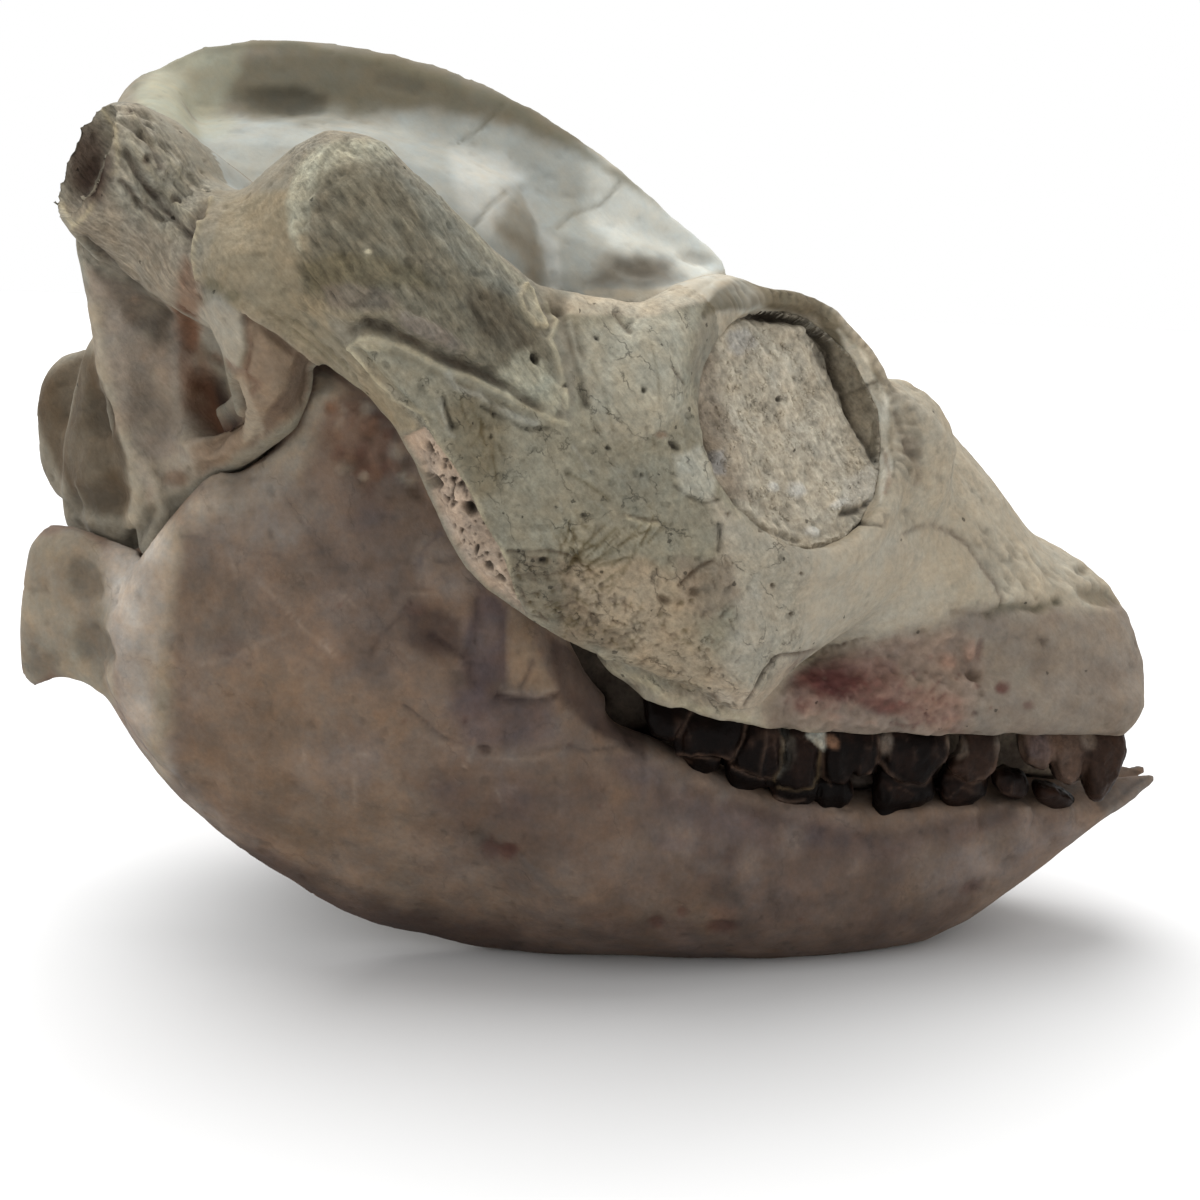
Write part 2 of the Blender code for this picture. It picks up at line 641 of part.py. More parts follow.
def tooth(name, size, side, upper, collection, draw):
    # A squared crown with its root sunk into the bone
    x, length, height = size
    level = curve_value(BITE, x)
    y = curve_value(TOOTH_Y, x) - (0.0 if upper else LOWER_INSET)
    width = TOOTH_WIDTH * (FRONT_WIDTH if x > FRONT_FROM else 1.0)
    tip_scale = CANINE_TIP if x > CANINE_FROM else CROWN_TIP
    up = 1 if upper else -1
    tip, neck = level + up * GAP * 0.7, level + up * height
    root = neck + up * TOOTH_ROOT
    lean = TOOTH_LEAN * (draw.random() - 0.5)
    rings = []
    for z, scale in ((root, 0.8), (neck, 0.93), ((neck + tip) / 2, 1.0), (tip, tip_scale)):
        ring = []
        for k in range(8):
            angle = 2 * math.pi * k / 8
            along = signed_power(math.cos(angle), 0.6) * scale * length / 2
            across = signed_power(math.sin(angle), 0.6) * scale * width / 2
            ring.append((x + along + lean * (z - neck), side * (y + across), z))
        rings.append(ring)
    return loft(name, rings, collection)


def teeth(upper, sides_used, collection_name):
    pieces = make_collection(collection_name)
    draw = random.Random(SEED + (1 if upper else 2))
    for side in sides_used:
        for index, size in enumerate(UPPER_TEETH if upper else LOWER_TEETH):
            tooth(f"tooth{index}", size, side, upper, pieces, draw)
    return pieces


def skull(forms):
    item = join_forms("skull", skull_forms(forms), forms)
    fuse(item, VOXEL, 6)
    thin_out(item, SKULL_TRIANGLES)
    hollows = [
        round_form("foramen", *FORAMEN, 1, forms, sides=16),
        round_form("nares", *NARES, 1, forms, sides=16),
    ]
    for side in (1, -1):
        hollows.append(orbit_bowl("orbit", side, 0.0, ORBIT_DEPTH, forms))
        hollows.append(ear_hole(side, forms))
    boolean(item, hollows, "DIFFERENCE")
    unite_collection(item, teeth(True, (1, -1), "upperTeeth"))
    return keep_largest(item)


def jaw(side, name, forms):
    made = [
        side_plate("ramus", JAW, side, 2.6, JAW_BOW, forms),
        side_plate("hook", JAW_HOOK, side, 2.4, 0.0, forms),
        rod("back", JAW_BACK, side, forms),
        rod("jawCondyle", JAW_CONDYLE, side, forms),
        rod("jawTip", JAW_TIP, side, forms),
    ]
    item = join_forms(name, made, forms)
    fuse(item, VOXEL, 5)
    thin_out(item, JAW_TRIANGLES)
    unite_collection(item, teeth(False, (side,), "lowerTeeth"))
    middle = sorted((side * GAP / 2, -side * REACH))
    trims = [
        block("midline", (-REACH, middle[0], -REACH), (REACH, middle[1], REACH), forms),
        block("rest", (-REACH, -REACH, -REACH), (REACH, REACH, REST_LEVEL), forms),
    ]
    return boolean(item, trims, "DIFFERENCE")


def jaw_rock(forms):
    # Rock left between the jaws: wide below, narrow between the tooth rows
    rings = []
    for x in steps_between(JAW_ROCK[0][0], JAW_ROCK[-1][0], 6.0):
        top, bottom, low, high = (curve_value(JAW_ROCK, x, c) for c in (1, 2, 3, 4))
        shoulder = max(ROCK_SHOULDER, bottom + 6.0)
        half = [(0.0, bottom), (low * 0.85, bottom + 1.0), (low, bottom + 3.0), (low, shoulder - 1.0),
                (high, shoulder + 2.0), (high, top - 3.0), (high * 0.8, top)]
        rings.append([(x, y, z) for y, z in half] + [(x, -y, z) for y, z in reversed(half[1:])])
    return loft("jaw_rock", rings, forms)


def clear_of(item, neighbours, forms):
    # Cuts a piece back from each neighbour swollen by the gap
    for neighbour in neighbours:
        grown = add_object("grown", neighbour.data.copy(), forms)
        swell = grown.modifiers.new("Displace", "DISPLACE")
        swell.strength = GAP * 1.1 * MM
        swell.mid_level = 0.0
        boolean(item, [bake(grown)], "DIFFERENCE")
    return keep_largest(item)


def parting_slabs(forms):
    # Thin cuts near the real sutures
    slabs = [slab("snoutCut", *SNOUT_CUT, forms)]
    for centre, normal, size in SIDE_CUTS:
        for side in (1, -1):
            place = (centre[0], side * centre[1], centre[2])
            facing = (normal[0], side * normal[1], normal[2])
            slabs.append(slab("sideCut", place, facing, size, forms))
    return slabs


def split_skull(item, parts):
    # Each separate body is named for the part whose middle it lies nearest
    found = [extract(item, group, "piece", parts) for group in islands(item.data)]
    found = [(len(piece.data.polygons), centre_of(piece), piece) for piece in found]
    kept = []
    for name, place in PART_CENTRES.items():
        near = [entry for entry in found if entry[0] > SCRAP_FACES]
        piece = min(near, key=lambda entry: (entry[1] - Vector(place)).length)[2]
        piece.name = name
        piece.data.name = name
        kept.append(piece)
    for _, _, piece in found:
        if piece not in kept:
            bpy.data.objects.remove(piece, do_unlink=True)
    bpy.data.objects.remove(item, do_unlink=True)
    return kept


def move_to(item, parts, colour, roughness):
    for old in list(item.users_collection):
        old.objects.unlink(item)
    parts.objects.link(item)
    dress(item, colour, roughness)


def centre_box(items):
    # Stands the middle of the whole object's box over the origin
    points = np.array([v.co for item in items for v in item.data.vertices])
    middle = (points.min(axis=0) + points.max(axis=0)) / 2
    for item in items:
        item.data.transform(Matrix.Translation((-middle[0], -middle[1], 0.0)))


def main():
    clear_scene()
    parts = make_collection("oreodont_skull")
    forms = make_collection("forms")
    whole = skull(forms)
    jaws = [jaw(1, "mandible_left", forms), jaw(-1, "mandible_right", forms)]
    rock = jaw_rock(forms)
    for item in jaws:
        clear_of(item, [whole], forms)
    clear_of(rock, [whole, *jaws], forms)
    for item in jaws:
        move_to(item, parts, BONE_BROWN, 0.75)
    move_to(rock, parts, ROCK_PINK, 0.95)
    boolean(whole, parting_slabs(forms), "DIFFERENCE")
    for piece in split_skull(whole, parts):
        dress(piece, BONE_GREY, 0.8)
    for side, name in ((1, "orbit_matrix_left"), (-1, "orbit_matrix_right")):
        fill = orbit_bowl(name, side, GAP, -MATRIX_RECESS, parts, rough=MATRIX_ROUGH)
        dress(fill, ROCK_PINK, 0.95)
    centre_box(parts.objects)
    for name in ("forms", "upperTeeth", "lowerTeeth"):
        bpy.data.collections.remove(bpy.data.collections[name])


main()
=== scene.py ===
import math
import random

import bmesh
import bpy
import numpy as np
from mathutils import Matrix, Vector
from mathutils.bvhtree import BVHTree


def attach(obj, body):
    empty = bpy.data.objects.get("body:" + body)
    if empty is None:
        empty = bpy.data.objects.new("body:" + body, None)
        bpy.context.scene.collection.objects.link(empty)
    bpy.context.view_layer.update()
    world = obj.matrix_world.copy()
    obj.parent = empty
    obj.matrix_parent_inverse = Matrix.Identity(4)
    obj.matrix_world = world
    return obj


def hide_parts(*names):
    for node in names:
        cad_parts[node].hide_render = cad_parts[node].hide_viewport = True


# Fossil oreodont skull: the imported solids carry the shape, and the worked surface is made here.
# Lengths are in millimetres until a mesh is written. Places named in the picture are in pixels of a
# 1200 wide square seen by the camera below, and both sides of the skull get them.
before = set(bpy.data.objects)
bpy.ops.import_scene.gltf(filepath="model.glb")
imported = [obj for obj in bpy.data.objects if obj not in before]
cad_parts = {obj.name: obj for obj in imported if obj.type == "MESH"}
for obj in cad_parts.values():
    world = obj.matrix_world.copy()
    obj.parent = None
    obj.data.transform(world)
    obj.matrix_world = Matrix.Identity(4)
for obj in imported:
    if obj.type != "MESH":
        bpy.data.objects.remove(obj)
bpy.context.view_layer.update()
mm = 0.001

camera = {
    "place": (-8.0, -215.0, 81.8),
    "turn": 1.5,       # degrees to the right
    "tip": 11.0,       # degrees downwards
    "roll": 2.0,
    "focal": 1761.0,   # in pixels of the 1200 wide picture
}

# Colours as they look under the studio light, each with the share of it that the surface itself has
# Some tones stand in for light: the braincase bulge's light tone is painted light, and the tones for the
# constriction, pits, grooves, gaps, the ear tube's inside, the orbit's inner wall, the jaw's underside and
# the hollows on its hook are painted shade.
tones = {
    "wall": ("c6c8bf", 0.58), "wallAhead": ("bebfb7", 1.13), "olive": ("67614f", 0.8),
    "crest": ("575347", 0.75), "crestEdge": ("7f7a66", 0.66), "slope": ("a5a28c", 0.84),
    "bulge": ("cfcfc7", 0.7), "brownShade": ("7b6c53", 0.72), "constriction": ("6a5d4a", 0.44),
    "mastoid": ("70665b", 1.55), "mastoidDark": ("3a3229", 1.1), "mastoidCool": ("64594d", 1.0),
    "occiput": ("66543e", 0.52), "occiputDark": ("4a4237", 1.0), "rustSeam": ("5d4637", 1.0),
    "rust": ("6b4a36", 1.0), "redHole": ("382922", 0.82), "pinkBone": ("84705e", 1.5),
    "pinkDark": ("5f4a3c", 1.5), "palePatch": ("a39b8b", 0.8), "ridge": ("9a8f7c", 1.0),
    "backBone": ("8b8373", 0.75), "tubeRough": ("7a7466", 1.19), "tubeLow": ("8d8373", 0.8),
    "tubeRim": ("b3a78a", 0.9), "tubeInside": ("443931", 1.44), "root": ("94866c", 0.77),
    "humpTop": ("9e9b88", 0.97), "hump": ("6c6656", 0.9), "humpCool": ("7b7b70", 0.86),
    "humpDark": ("595143", 0.62), "archOlive": ("5d5540", 1.04), "pinkGrey": ("71675c", 0.85),
    "groove": ("4c4236", 0.85), "swelling": ("7a7065", 0.85), "jugal": ("827d6c", 0.97),
    "jugalBack": ("857e6e", 0.85), "jugalRear": ("6d6450", 0.85), "jugalPale": ("a09b8a", 0.9),
    "jugalCool": ("a4a397", 1.0), "jugalFront": ("9b9383", 0.96), "jugalLow": ("857560", 1.32),
    "brownPatch": ("76695a", 1.0), "stainBrown": ("5d503f", 0.95), "stain": ("4a3c2e", 0.9),
    "rootStain": ("33261c", 0.9), "spongy": ("9c8a79", 1.25), "flange": ("9d8f7c", 1.0),
    "bar": ("aca28f", 0.93), "cream": ("b5ab90", 0.9), "creamDim": ("a2967e", 0.95),
    "flake": ("9c998c", 0.9), "pit": ("1d1815", 0.81), "face": ("a29885", 0.84),
    "faceDim": ("8f8472", 0.84), "rim": ("827456", 0.36), "rimDark": ("6a5f4d", 0.7),
    "rimFront": ("ada89a", 1.69), "lowerFace": ("7d7065", 0.73), "lowerPale": ("8d8072", 0.77),
    "lowerShade": ("54473c", 0.95), "maroonPale": ("67433c", 0.95), "maroon": ("4b2421", 0.98),
    "rosy": ("7c685c", 1.0), "pustule": ("8c6f60", 0.95), "seam": ("44402f", 0.8), "jaw": ("6e5d50", 0.95),
    "jawTop": ("978c7b", 1.12), "jawGrey": ("756b61", 1.0), "jawLeft": ("60554b", 1.0),
    "jawPink": ("6f5d4e", 0.82), "jawDark": ("584c44", 0.95), "jawPatch": ("7b6e64", 1.1),
    "jawMauve": ("524648", 0.83), "jawWarm": ("74614f", 0.86), "jawBlack": ("392b27", 0.85),
    "jawRed": ("4a2c24", 1.0), "plate": ("83705c", 0.85), "rearPale": ("a0968a", 0.85),
    "rearRim": ("8f8470", 1.0), "hook": ("8d8371", 0.84), "hookDark": ("5f564b", 1.0),
    "jawFront": ("655a54", 0.8), "jawUnder": ("463933", 1.05), "jawLine": ("8b7d70", 1.0),
    "tip": ("5e554e", 0.85), "scar": ("74584b", 0.9), "rock": ("9b9383", 1.22),
    "rockWarm": ("7d7162", 1.15), "rockDark": ("2c2421", 1.0), "rockBlack": ("15100d", 1.0),
    "rockPale": ("b7b3a9", 1.1), "rockBlue": ("8e9296", 1.1), "innerWall": ("7d725f", 0.62),
    "gap": ("2e271f", 0.8), "enamel": ("1a100c", 0.29), "enamelBrown": ("35231b", 0.42),
    "enamelPale": ("6a5548", 0.75), "dentine": ("7d6a50", 0.8), "mauve": ("4f4444", 0.9),
    "molarStain": ("6a655c", 0.8), "chip": ("8a6a55", 0.8), "rearTop": ("a2988c", 1.2),
    "jawMiddle": ("64534a", 0.62), "chinGrey": ("675c56", 1.15), "plateBone": ("786654", 1.05),
    "plateShade": ("57463a", 0.9), "canine": ("35261e", 0.85), "scratch": ("4f4328", 0.85),
    "papilla": ("8a7a6c", 0.7),
}


def cameraAxes():
    turn, tip, roll = (math.radians(camera[k]) for k in ("turn", "tip", "roll"))
    ahead = np.array([math.sin(turn) * math.cos(tip), math.cos(turn) * math.cos(tip), -math.sin(tip)])
    right = np.array([math.cos(turn), -math.sin(turn), 0.0])
    up = np.cross(right, ahead)
    across = right * math.cos(roll) + up * math.sin(roll)
    upward = up * math.cos(roll) - right * math.sin(roll)
    return np.array(camera["place"]), across, upward, ahead


def nearSide(points):
    # The animal's left half folded onto its right, which the camera sees
    near = points.copy()
    near[:, 1] = -np.abs(near[:, 1])
    return near


def picturePlace(points):
    place, across, upward, ahead = cameraAxes()
    sight = nearSide(points) - place
    depth = sight @ ahead
    return 600 + camera["focal"] * (sight @ across) / depth, 600 - camera["focal"] * (sight @ upward) / depth


def pointAt(u, v, y):
    # The point at this place in the picture that lies y millimetres off the midline
    place, across, upward, ahead = cameraAxes()
    ray = ahead + across * (u - 600) / camera["focal"] - upward * (v - 600) / camera["focal"]
    return place + ray * (y - place[1]) / ray[1]


def linear(code):
    # sRGB hex to linear red, green and blue
    parts = [int(code[i:i + 2], 16) / 255 for i in (0, 2, 4)]
    return np.array([c / 12.92 if c <= 0.04045 else ((c + 0.055) / 1.055) ** 2.4 for c in parts])


def softStep(value, low, high):
    t = np.clip((value - low) / (high - low), 0, 1)
    return t * t * (3 - 2 * t)


def curveAt(keys, x):
    return np.interp(x, [k[0] for k in keys], [k[1] for k in keys])


# Noise

def grainNoise(points, size, seed):
    # Smooth random values from -1 to 1, with grains of the given size
    place = points / size + seed * 13.7
    cell = np.floor(place).astype(np.int64)
    part = place - cell
    part = part * part * part * (part * (part * 6 - 15) + 10)
    total = np.zeros(len(points))
    for corner in range(8):
        step = np.array([corner & 1, corner >> 1 & 1, corner >> 2 & 1])
        key = (cell + step) @ np.array([73856093, 19349663, 83492791]) + seed * 9973
        key = ((key ^ (key >> 13)) * 1274126177) & 0xFFFFFFFF
        key = key ^ (key >> 16)
        total += np.prod(np.where(step, part, 1 - part), axis=1) * ((key & 0xFFFF) / 32767.5 - 1)
    return total


def layeredNoise(points, size, seed, layers=3):
    total = np.zeros(len(points))
    for k in range(layers):
        total += grainNoise(points, size / 2 ** k, seed + k) / 2 ** k
    return total / (2 - 2 ** (1 - layers))


def fibreNoise(points, direction, size, stretch, seed):
    # Noise drawn out along a direction given in the picture as (right, down)
    place, across, upward, ahead = cameraAxes()
    way = across * direction[0] - upward * direction[1]
    way = way / np.linalg.norm(way)
    near = nearSide(points) + np.where(points[:, 1] > 0, 71.0, 0.0)[:, None]
    return grainNoise(near - np.outer(near @ way, way) * (1 - 1 / stretch), size, seed)


# Meshes as arrays

def meshObject(name, points, faces):
    mesh = bpy.data.meshes.new(name)
    mesh.from_pydata((np.asarray(points) * mm).tolist(), [], [tuple(f) for f in faces])
    mesh.update()
    item = bpy.data.objects.new(name, mesh)
    bpy.context.scene.collection.objects.link(item)
    return item


def applyAll(item):
    if item.modifiers:
        graph = bpy.context.evaluated_depsgraph_get()
        mesh = bpy.data.meshes.new_from_object(item.evaluated_get(graph))
        item.modifiers.clear()
        item.data = mesh
    return item


def mergedCopy(node, grow=0.0, cutters=()):
    # A closed copy of a solid, cut where new teeth go in and swollen so that thin gaps close
    work = bmesh.new()
    work.from_mesh(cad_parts[node].data)
    bmesh.ops.remove_doubles(work, verts=work.verts, dist=1e-6)
    mesh = bpy.data.meshes.new(node + "Copy")
    work.to_mesh(mesh)
    work.free()
    item = bpy.data.objects.new(node + "Copy", mesh)
    bpy.context.scene.collection.objects.link(item)
    for cutter in cutters:
        cut = item.modifiers.new("Cut", "BOOLEAN")
        cut.operation = "DIFFERENCE"
        cut.solver = "MANIFOLD"
        cut.object = cutter
    applyAll(item)
    if grow:
        mesh = item.data
        coords = np.zeros(len(mesh.vertices) * 3)
        normals = np.zeros(len(mesh.vertices) * 3)
        mesh.vertices.foreach_get("co", coords)
        mesh.vertex_normals.foreach_get("vector", normals)
        mesh.vertices.foreach_set("co", coords + normals * grow * mm)
    return item


def remeshed(items, voxel):
    # One skin over several overlapping bodies, as arrays of points and four-sided faces
    work = bmesh.new()
    for item in items:
        work.from_mesh(item.data)
    mesh = bpy.data.meshes.new("joined")
    work.to_mesh(mesh)
    work.free()
    joined = bpy.data.objects.new("joined", mesh)
    bpy.context.scene.collection.objects.link(joined)
    skin = joined.modifiers.new("Skin", "REMESH")
    skin.mode = "VOXEL"
    skin.voxel_size = voxel * mm
    applyAll(joined)
    mesh = joined.data
    points = np.zeros(len(mesh.vertices) * 3)
    mesh.vertices.foreach_get("co", points)
    quads = np.zeros(len(mesh.polygons) * 4, int)
    mesh.polygons.foreach_get("vertices", quads)
    for item in [*items, joined]:
        bpy.data.objects.remove(item, do_unlink=True)
    return largestBody(points.reshape(-1, 3) / mm, quads.reshape(-1, 4))


def keepFaces(points, faces, keep):
    own = faces[keep]
    used = np.unique(own)
    lookup = np.full(len(points), -1)
    lookup[used] = np.arange(len(used))
    return used, lookup[own]


def largestBody(points, faces):
    # Drops loose bits and sealed hollows
    label = np.arange(len(points))
    while True:
        low = label[faces].min(axis=1)
        fresh = label.copy()
        for k in range(faces.shape[1]):
            np.minimum.at(fresh, faces[:, k], low)
        fresh = fresh[fresh]
        if (fresh == label).all():
            break
        label = fresh
    names, counts = np.unique(label[faces[:, 0]], return_counts=True)
    used, kept = keepFaces(points, faces, label[faces[:, 0]] == names[counts.argmax()])
    return points[used], kept


def vertexNormals(points, faces):
    last = points[faces[:, -1]]
    area = np.cross(points[faces[:, 2]] - points[faces[:, 0]], last - points[faces[:, 1]])
    if faces.shape[1] == 3:
        area = np.cross(points[faces[:, 1]] - points[faces[:, 0]], last - points[faces[:, 0]])
    total = np.zeros_like(points)
    for axis in range(3):
        weights = np.repeat(area[:, axis], faces.shape[1])
        total[:, axis] = np.bincount(faces.ravel(), weights=weights, minlength=len(points))
    return total / np.maximum(np.linalg.norm(total, axis=1, keepdims=True), 1e-9)


def neighbourMean(values, faces):
    start = faces.ravel()
    end = np.roll(faces, -1, axis=1).ravel()
    size = len(values)
    count = np.bincount(start, minlength=size) + np.bincount(end, minlength=size)
    total = [
        np.bincount(start, weights=values[end, axis], minlength=size)
        + np.bincount(end, weights=values[start, axis], minlength=size)
        for axis in range(values.shape[1])
    ]
    return np.stack(total, axis=1) / count[:, None]


def smoothed(points, faces, times):
    # Takes the facets off without shrinking the form
    for _ in range(times):
        points = points + 0.55 * (neighbourMean(points, faces) - points)
        points = points - 0.57 * (neighbourMean(points, faces) - points)
    return points


def triangles(points, quads):
    # Splits each face along its shorter diagonal
    first = np.linalg.norm(points[quads[:, 0]] - points[quads[:, 2]], axis=1)
    second = np.linalg.norm(points[quads[:, 1]] - points[quads[:, 3]], axis=1)
    turned = np.where((first > second)[:, None], np.roll(quads, -1, axis=1), quads)
    return np.concatenate([turned[:, [0, 1, 2]], turned[:, [0, 2, 3]]])


def refined(skin, want):
    # Cuts the wanted triangles into four, and their neighbours as that needs
    faces, size = skin["faces"], len(skin["points"])
    ends = np.sort(np.stack([faces, np.roll(faces, -1, axis=1)], axis=2), axis=2)
    keys = ends[:, :, 0] * size + ends[:, :, 1]
    cut = np.unique(keys[want])
    at = np.clip(np.searchsorted(cut, keys), 0, len(cut) - 1)
    hit = cut[at] == keys
    middle = size + at
    one, two = cut // size, cut % size
    blended = [k for k in skin if k not in ("faces", "label")]
    fresh = {k: np.concatenate([skin[k], (skin[k][one] + skin[k][two]) / 2]) for k in blended}
    fresh["label"] = np.concatenate([skin["label"], skin["label"][one]])
    count = hit.sum(axis=1)
    parts = [faces[count == 0]]
    f, m = faces[count == 3], middle[count == 3]
    parts += [np.stack(s, 1) for s in (
        (f[:, 0], m[:, 0], m[:, 2]), (m[:, 0], f[:, 1], m[:, 1]),
        (m[:, 2], m[:, 1], f[:, 2]), (m[:, 0], m[:, 1], m[:, 2]),
    )]
    for turn in range(3):
        f, m, h = (np.roll(a, -turn, axis=1) for a in (faces, middle, hit))
        single = (count == 1) & h[:, 0]
        s, k = f[single], m[single]
        parts += [np.stack((s[:, 0], k[:, 0], s[:, 2]), 1), np.stack((k[:, 0], s[:, 1], s[:, 2]), 1)]
        double = (count == 2) & ~h[:, 2]
        s, k = f[double], m[double]
        parts += [np.stack(t, 1) for t in (
            (k[:, 0], s[:, 1], k[:, 1]), (s[:, 0], k[:, 0], k[:, 1]), (s[:, 0], k[:, 1], s[:, 2]))]
    fresh["faces"] = np.concatenate(parts)
    return fresh


# Skins over the solids

skinning = {"voxel": 0.5, "grow": 0.26, "smooth": 24}


def coveredSkin(nodes, cutters=None, voxel=None, smooth=None):
    voxel = (voxel or skinning["voxel"]) * 1
    copies = [mergedCopy(node, skinning["grow"], (cutters or {}).get(node, ())) for node in nodes]
    points, quads = remeshed(copies, voxel)
    points = smoothed(points, quads, smooth or skinning["smooth"])
    points = points - vertexNormals(points, quads) * skinning["grow"]
    return makeSkin(points, triangles(points, quads))


def makeSkin(points, faces):
    size = len(points)
    skin = {
        "points": points, "faces": faces, "label": np.zeros(size, int), "open": np.ones(size),
        "height": np.zeros(size), "paint": np.zeros((size, 3)), "detail": np.zeros((size, 3)),
        "rough": np.ones(size),
    }
    return measure(skin)


def measure(skin):
    # Places in the picture, and how squarely each point faces the camera
    points = skin["points"]
    skin["normals"] = vertexNormals(points, skin["faces"])
    skin["u"], skin["v"] = picturePlace(points)
    lean = skin["normals"].copy()
    lean[:, 1] *= np.where(points[:, 1] > 0, -1, 1)
    sight = np.array(camera["place"]) - nearSide(points)
    skin["facing"] = (lean * sight).sum(axis=1) / np.linalg.norm(sight, axis=1)
    skin["seen"] = softStep(skin["facing"], -0.02, 0.2) * skin["open"]
    return skin


def findHidden(skin, tree):
    # Marks what another part of the skull hides from the camera
    eye = Vector(camera["place"])
    near = nearSide(skin["points"])
    lean = skin["normals"].copy()
    lean[:, 1] *= np.where(skin["points"][:, 1] > 0, -1, 1)
    start = near + lean * 0.7
    for index in np.nonzero(skin["facing"] > -0.1)[0]:
        origin = Vector(start[index])
        if tree.ray_cast(origin, (eye - origin).normalized())[0] is not None:
            skin["open"][index] = 0.0
    for _ in range(3):
        skin["open"] = neighbourMean(skin["open"][:, None], skin["faces"])[:, 0]
    skin["open"] = softStep(skin["open"], 0.3, 0.8)


def refineNear(skin, want, smooth=2):
    fresh = refined(skin, want)
    fresh["points"] = smoothed(fresh["points"], fresh["faces"], smooth)
    return measure(fresh)


# Drawing on a skin, in the picture's pixels

def outlinePoints(outline):
    # An outline is written as "right,down right,down" and so on, in pixels of the picture
    if not isinstance(outline, str):
        return outline
    return [tuple(float(number) for number in spot.split(",")) for spot in outline.split()]


def lineDistance(u, v, line):
    best = np.full(len(u), 1e9)
    for (au, av), (bu, bv) in zip(line[:-1], line[1:]):
        du, dv = bu - au, bv - av
        t = np.clip(((u - au) * du + (v - av) * dv) / max(du * du + dv * dv, 1e-9), 0, 1)
        best = np.minimum(best, np.hypot(u - au - t * du, v - av - t * dv))
    return best


def chosen(skin, only):
    return skin["seen"] > 0 if only is None else (skin["seen"] > 0) & np.isin(skin["label"], only)


def mixPaint(skin, index, tone, weight):
    weight = np.clip(weight, 0, 1)[:, None]
    code, share = tones[tone]
    skin["paint"][index] = skin["paint"][index] * (1 - weight) + linear(code) * share * weight


def drawLine(skin, line, width, height=0.0, tone=None, strength=0.0, only=None, wander=1.5, seed=1):
    # A ridge, suture or crack
    line = outlinePoints(line)
    reach = 3 * width + 2 * wander
    us, vs = [p[0] for p in line], [p[1] for p in line]
    inside = (skin["u"] > min(us) - reach) & (skin["u"] < max(us) + reach)
    inside &= (skin["v"] > min(vs) - reach) & (skin["v"] < max(vs) + reach)
    index = np.nonzero(inside & chosen(skin, only))[0]
    if not len(index):
        return
    points = skin["points"][index]
    u = skin["u"][index] + wander * layeredNoise(points, 2.4, seed, 2)
    v = skin["v"][index] + wander * layeredNoise(points, 2.4, seed + 50, 2)
    uneven = layeredNoise(points, 1.7, seed + 90, 2)
    fall = np.exp(-((lineDistance(u, v, line) / (width * (1 + 0.35 * uneven))) ** 2)) * skin["seen"][index]
    fall *= 0.62 + 0.38 * softStep(layeredNoise(points, 2.6, seed + 95, 2), -0.5, 0.3)
    skin["height"][index] += height * fall
    if tone:
        mixPaint(skin, index, tone, strength * fall)


def drawSpot(skin, centre, size, turn=0.0, height=0.0, tone=None, strength=0.0, only=None, edge=0.5,
             ragged=0.25, seed=1):
    # An oval hollow, swelling or stain
    far = max(size) * (1 + edge + ragged)
    inside = (np.abs(skin["u"] - centre[0]) < far) & (np.abs(skin["v"] - centre[1]) < far)
    index = np.nonzero(inside & chosen(skin, only))[0]
    if not len(index):
        return
    a = math.radians(turn)
    du, dv = skin["u"][index] - centre[0], skin["v"][index] - centre[1]
    across = (du * math.cos(a) + dv * math.sin(a)) / size[0]
    down = (dv * math.cos(a) - du * math.sin(a)) / size[1]
    reach = np.hypot(across, down)
    grain = max(1.0, min(size) / 12)
    reach += ragged * layeredNoise(skin["points"][index], grain, seed, 3)
    fall = (1 - softStep(reach, 1 - edge, 1 + edge)) * skin["seen"][index]
    skin["height"][index] += height * fall
    if tone:
        mixPaint(skin, index, tone, strength * fall)


def areaShare(skin, outline, soft, only=None, seed=1):
    # 1 inside a closed outline and 0 outside, fading over soft pixels
    outline = outlinePoints(outline)
    share = np.zeros(len(skin["u"]))
    us, vs = [p[0] for p in outline], [p[1] for p in outline]
    inside = (skin["u"] > min(us) - soft) & (skin["u"] < max(us) + soft)
    inside &= (skin["v"] > min(vs) - soft) & (skin["v"] < max(vs) + soft)
    index = np.nonzero(inside & chosen(skin, only))[0]
    if not len(index):
        return share
    points = skin["points"][index]
    wander = 2 + 0.4 * soft
    u = skin["u"][index] + wander * layeredNoise(points, 4.0, seed, 4)
    v = skin["v"][index] + wander * layeredNoise(points, 4.0, seed + 50, 4)
    within = np.zeros(len(u), bool)
    closed = list(outline) + [outline[0]]
    for (au, av), (bu, bv) in zip(closed[:-1], closed[1:]):
        if av != bv:
            within ^= ((av > v) != (bv > v)) & (u < (bu - au) * (v - av) / (bv - av) + au)
    far = lineDistance(u, v, closed) / soft
    share[index] = softStep(np.where(within, far, -far), -0.5, 0.5) * skin["seen"][index]
    return share


def paintArea(skin, outline, soft, tone, strength, height=0.0, only=None, seed=1):
    share = areaShare(skin, outline, soft, only, seed=seed)
    skin["height"] += height * share
    index = np.nonzero(share)[0]
    if len(index):
        patchy = 0.85 + 0.3 * layeredNoise(skin["points"][index], 3.5, seed + 70, 4)
        mixPaint(skin, index, tone, strength * share[index] * np.minimum(patchy, 1))


def drawAll(skin, areas=None, lines=None, spots=None, only=None):
    for number, (name, values) in enumerate((areas or {}).items()):
        paintArea(skin, *values, only=only, seed=number + 11)
    for number, (name, values) in enumerate((lines or {}).items()):
        drawLine(skin, *values, only=only, seed=number + 31)
    for number, (name, values) in enumerate((spots or {}).items()):
        drawSpot(skin, *values, only=only, seed=number + 61)


def withinOutline(outline, u, v):
    closed = list(outline) + [outline[0]]
    return sum(((av > v) != (bv > v)) and (u < (bu - au) * (v - av) / (bv - av) + au)
               for (au, av), (bu, bv) in zip(closed[:-1], closed[1:])) % 2 == 1


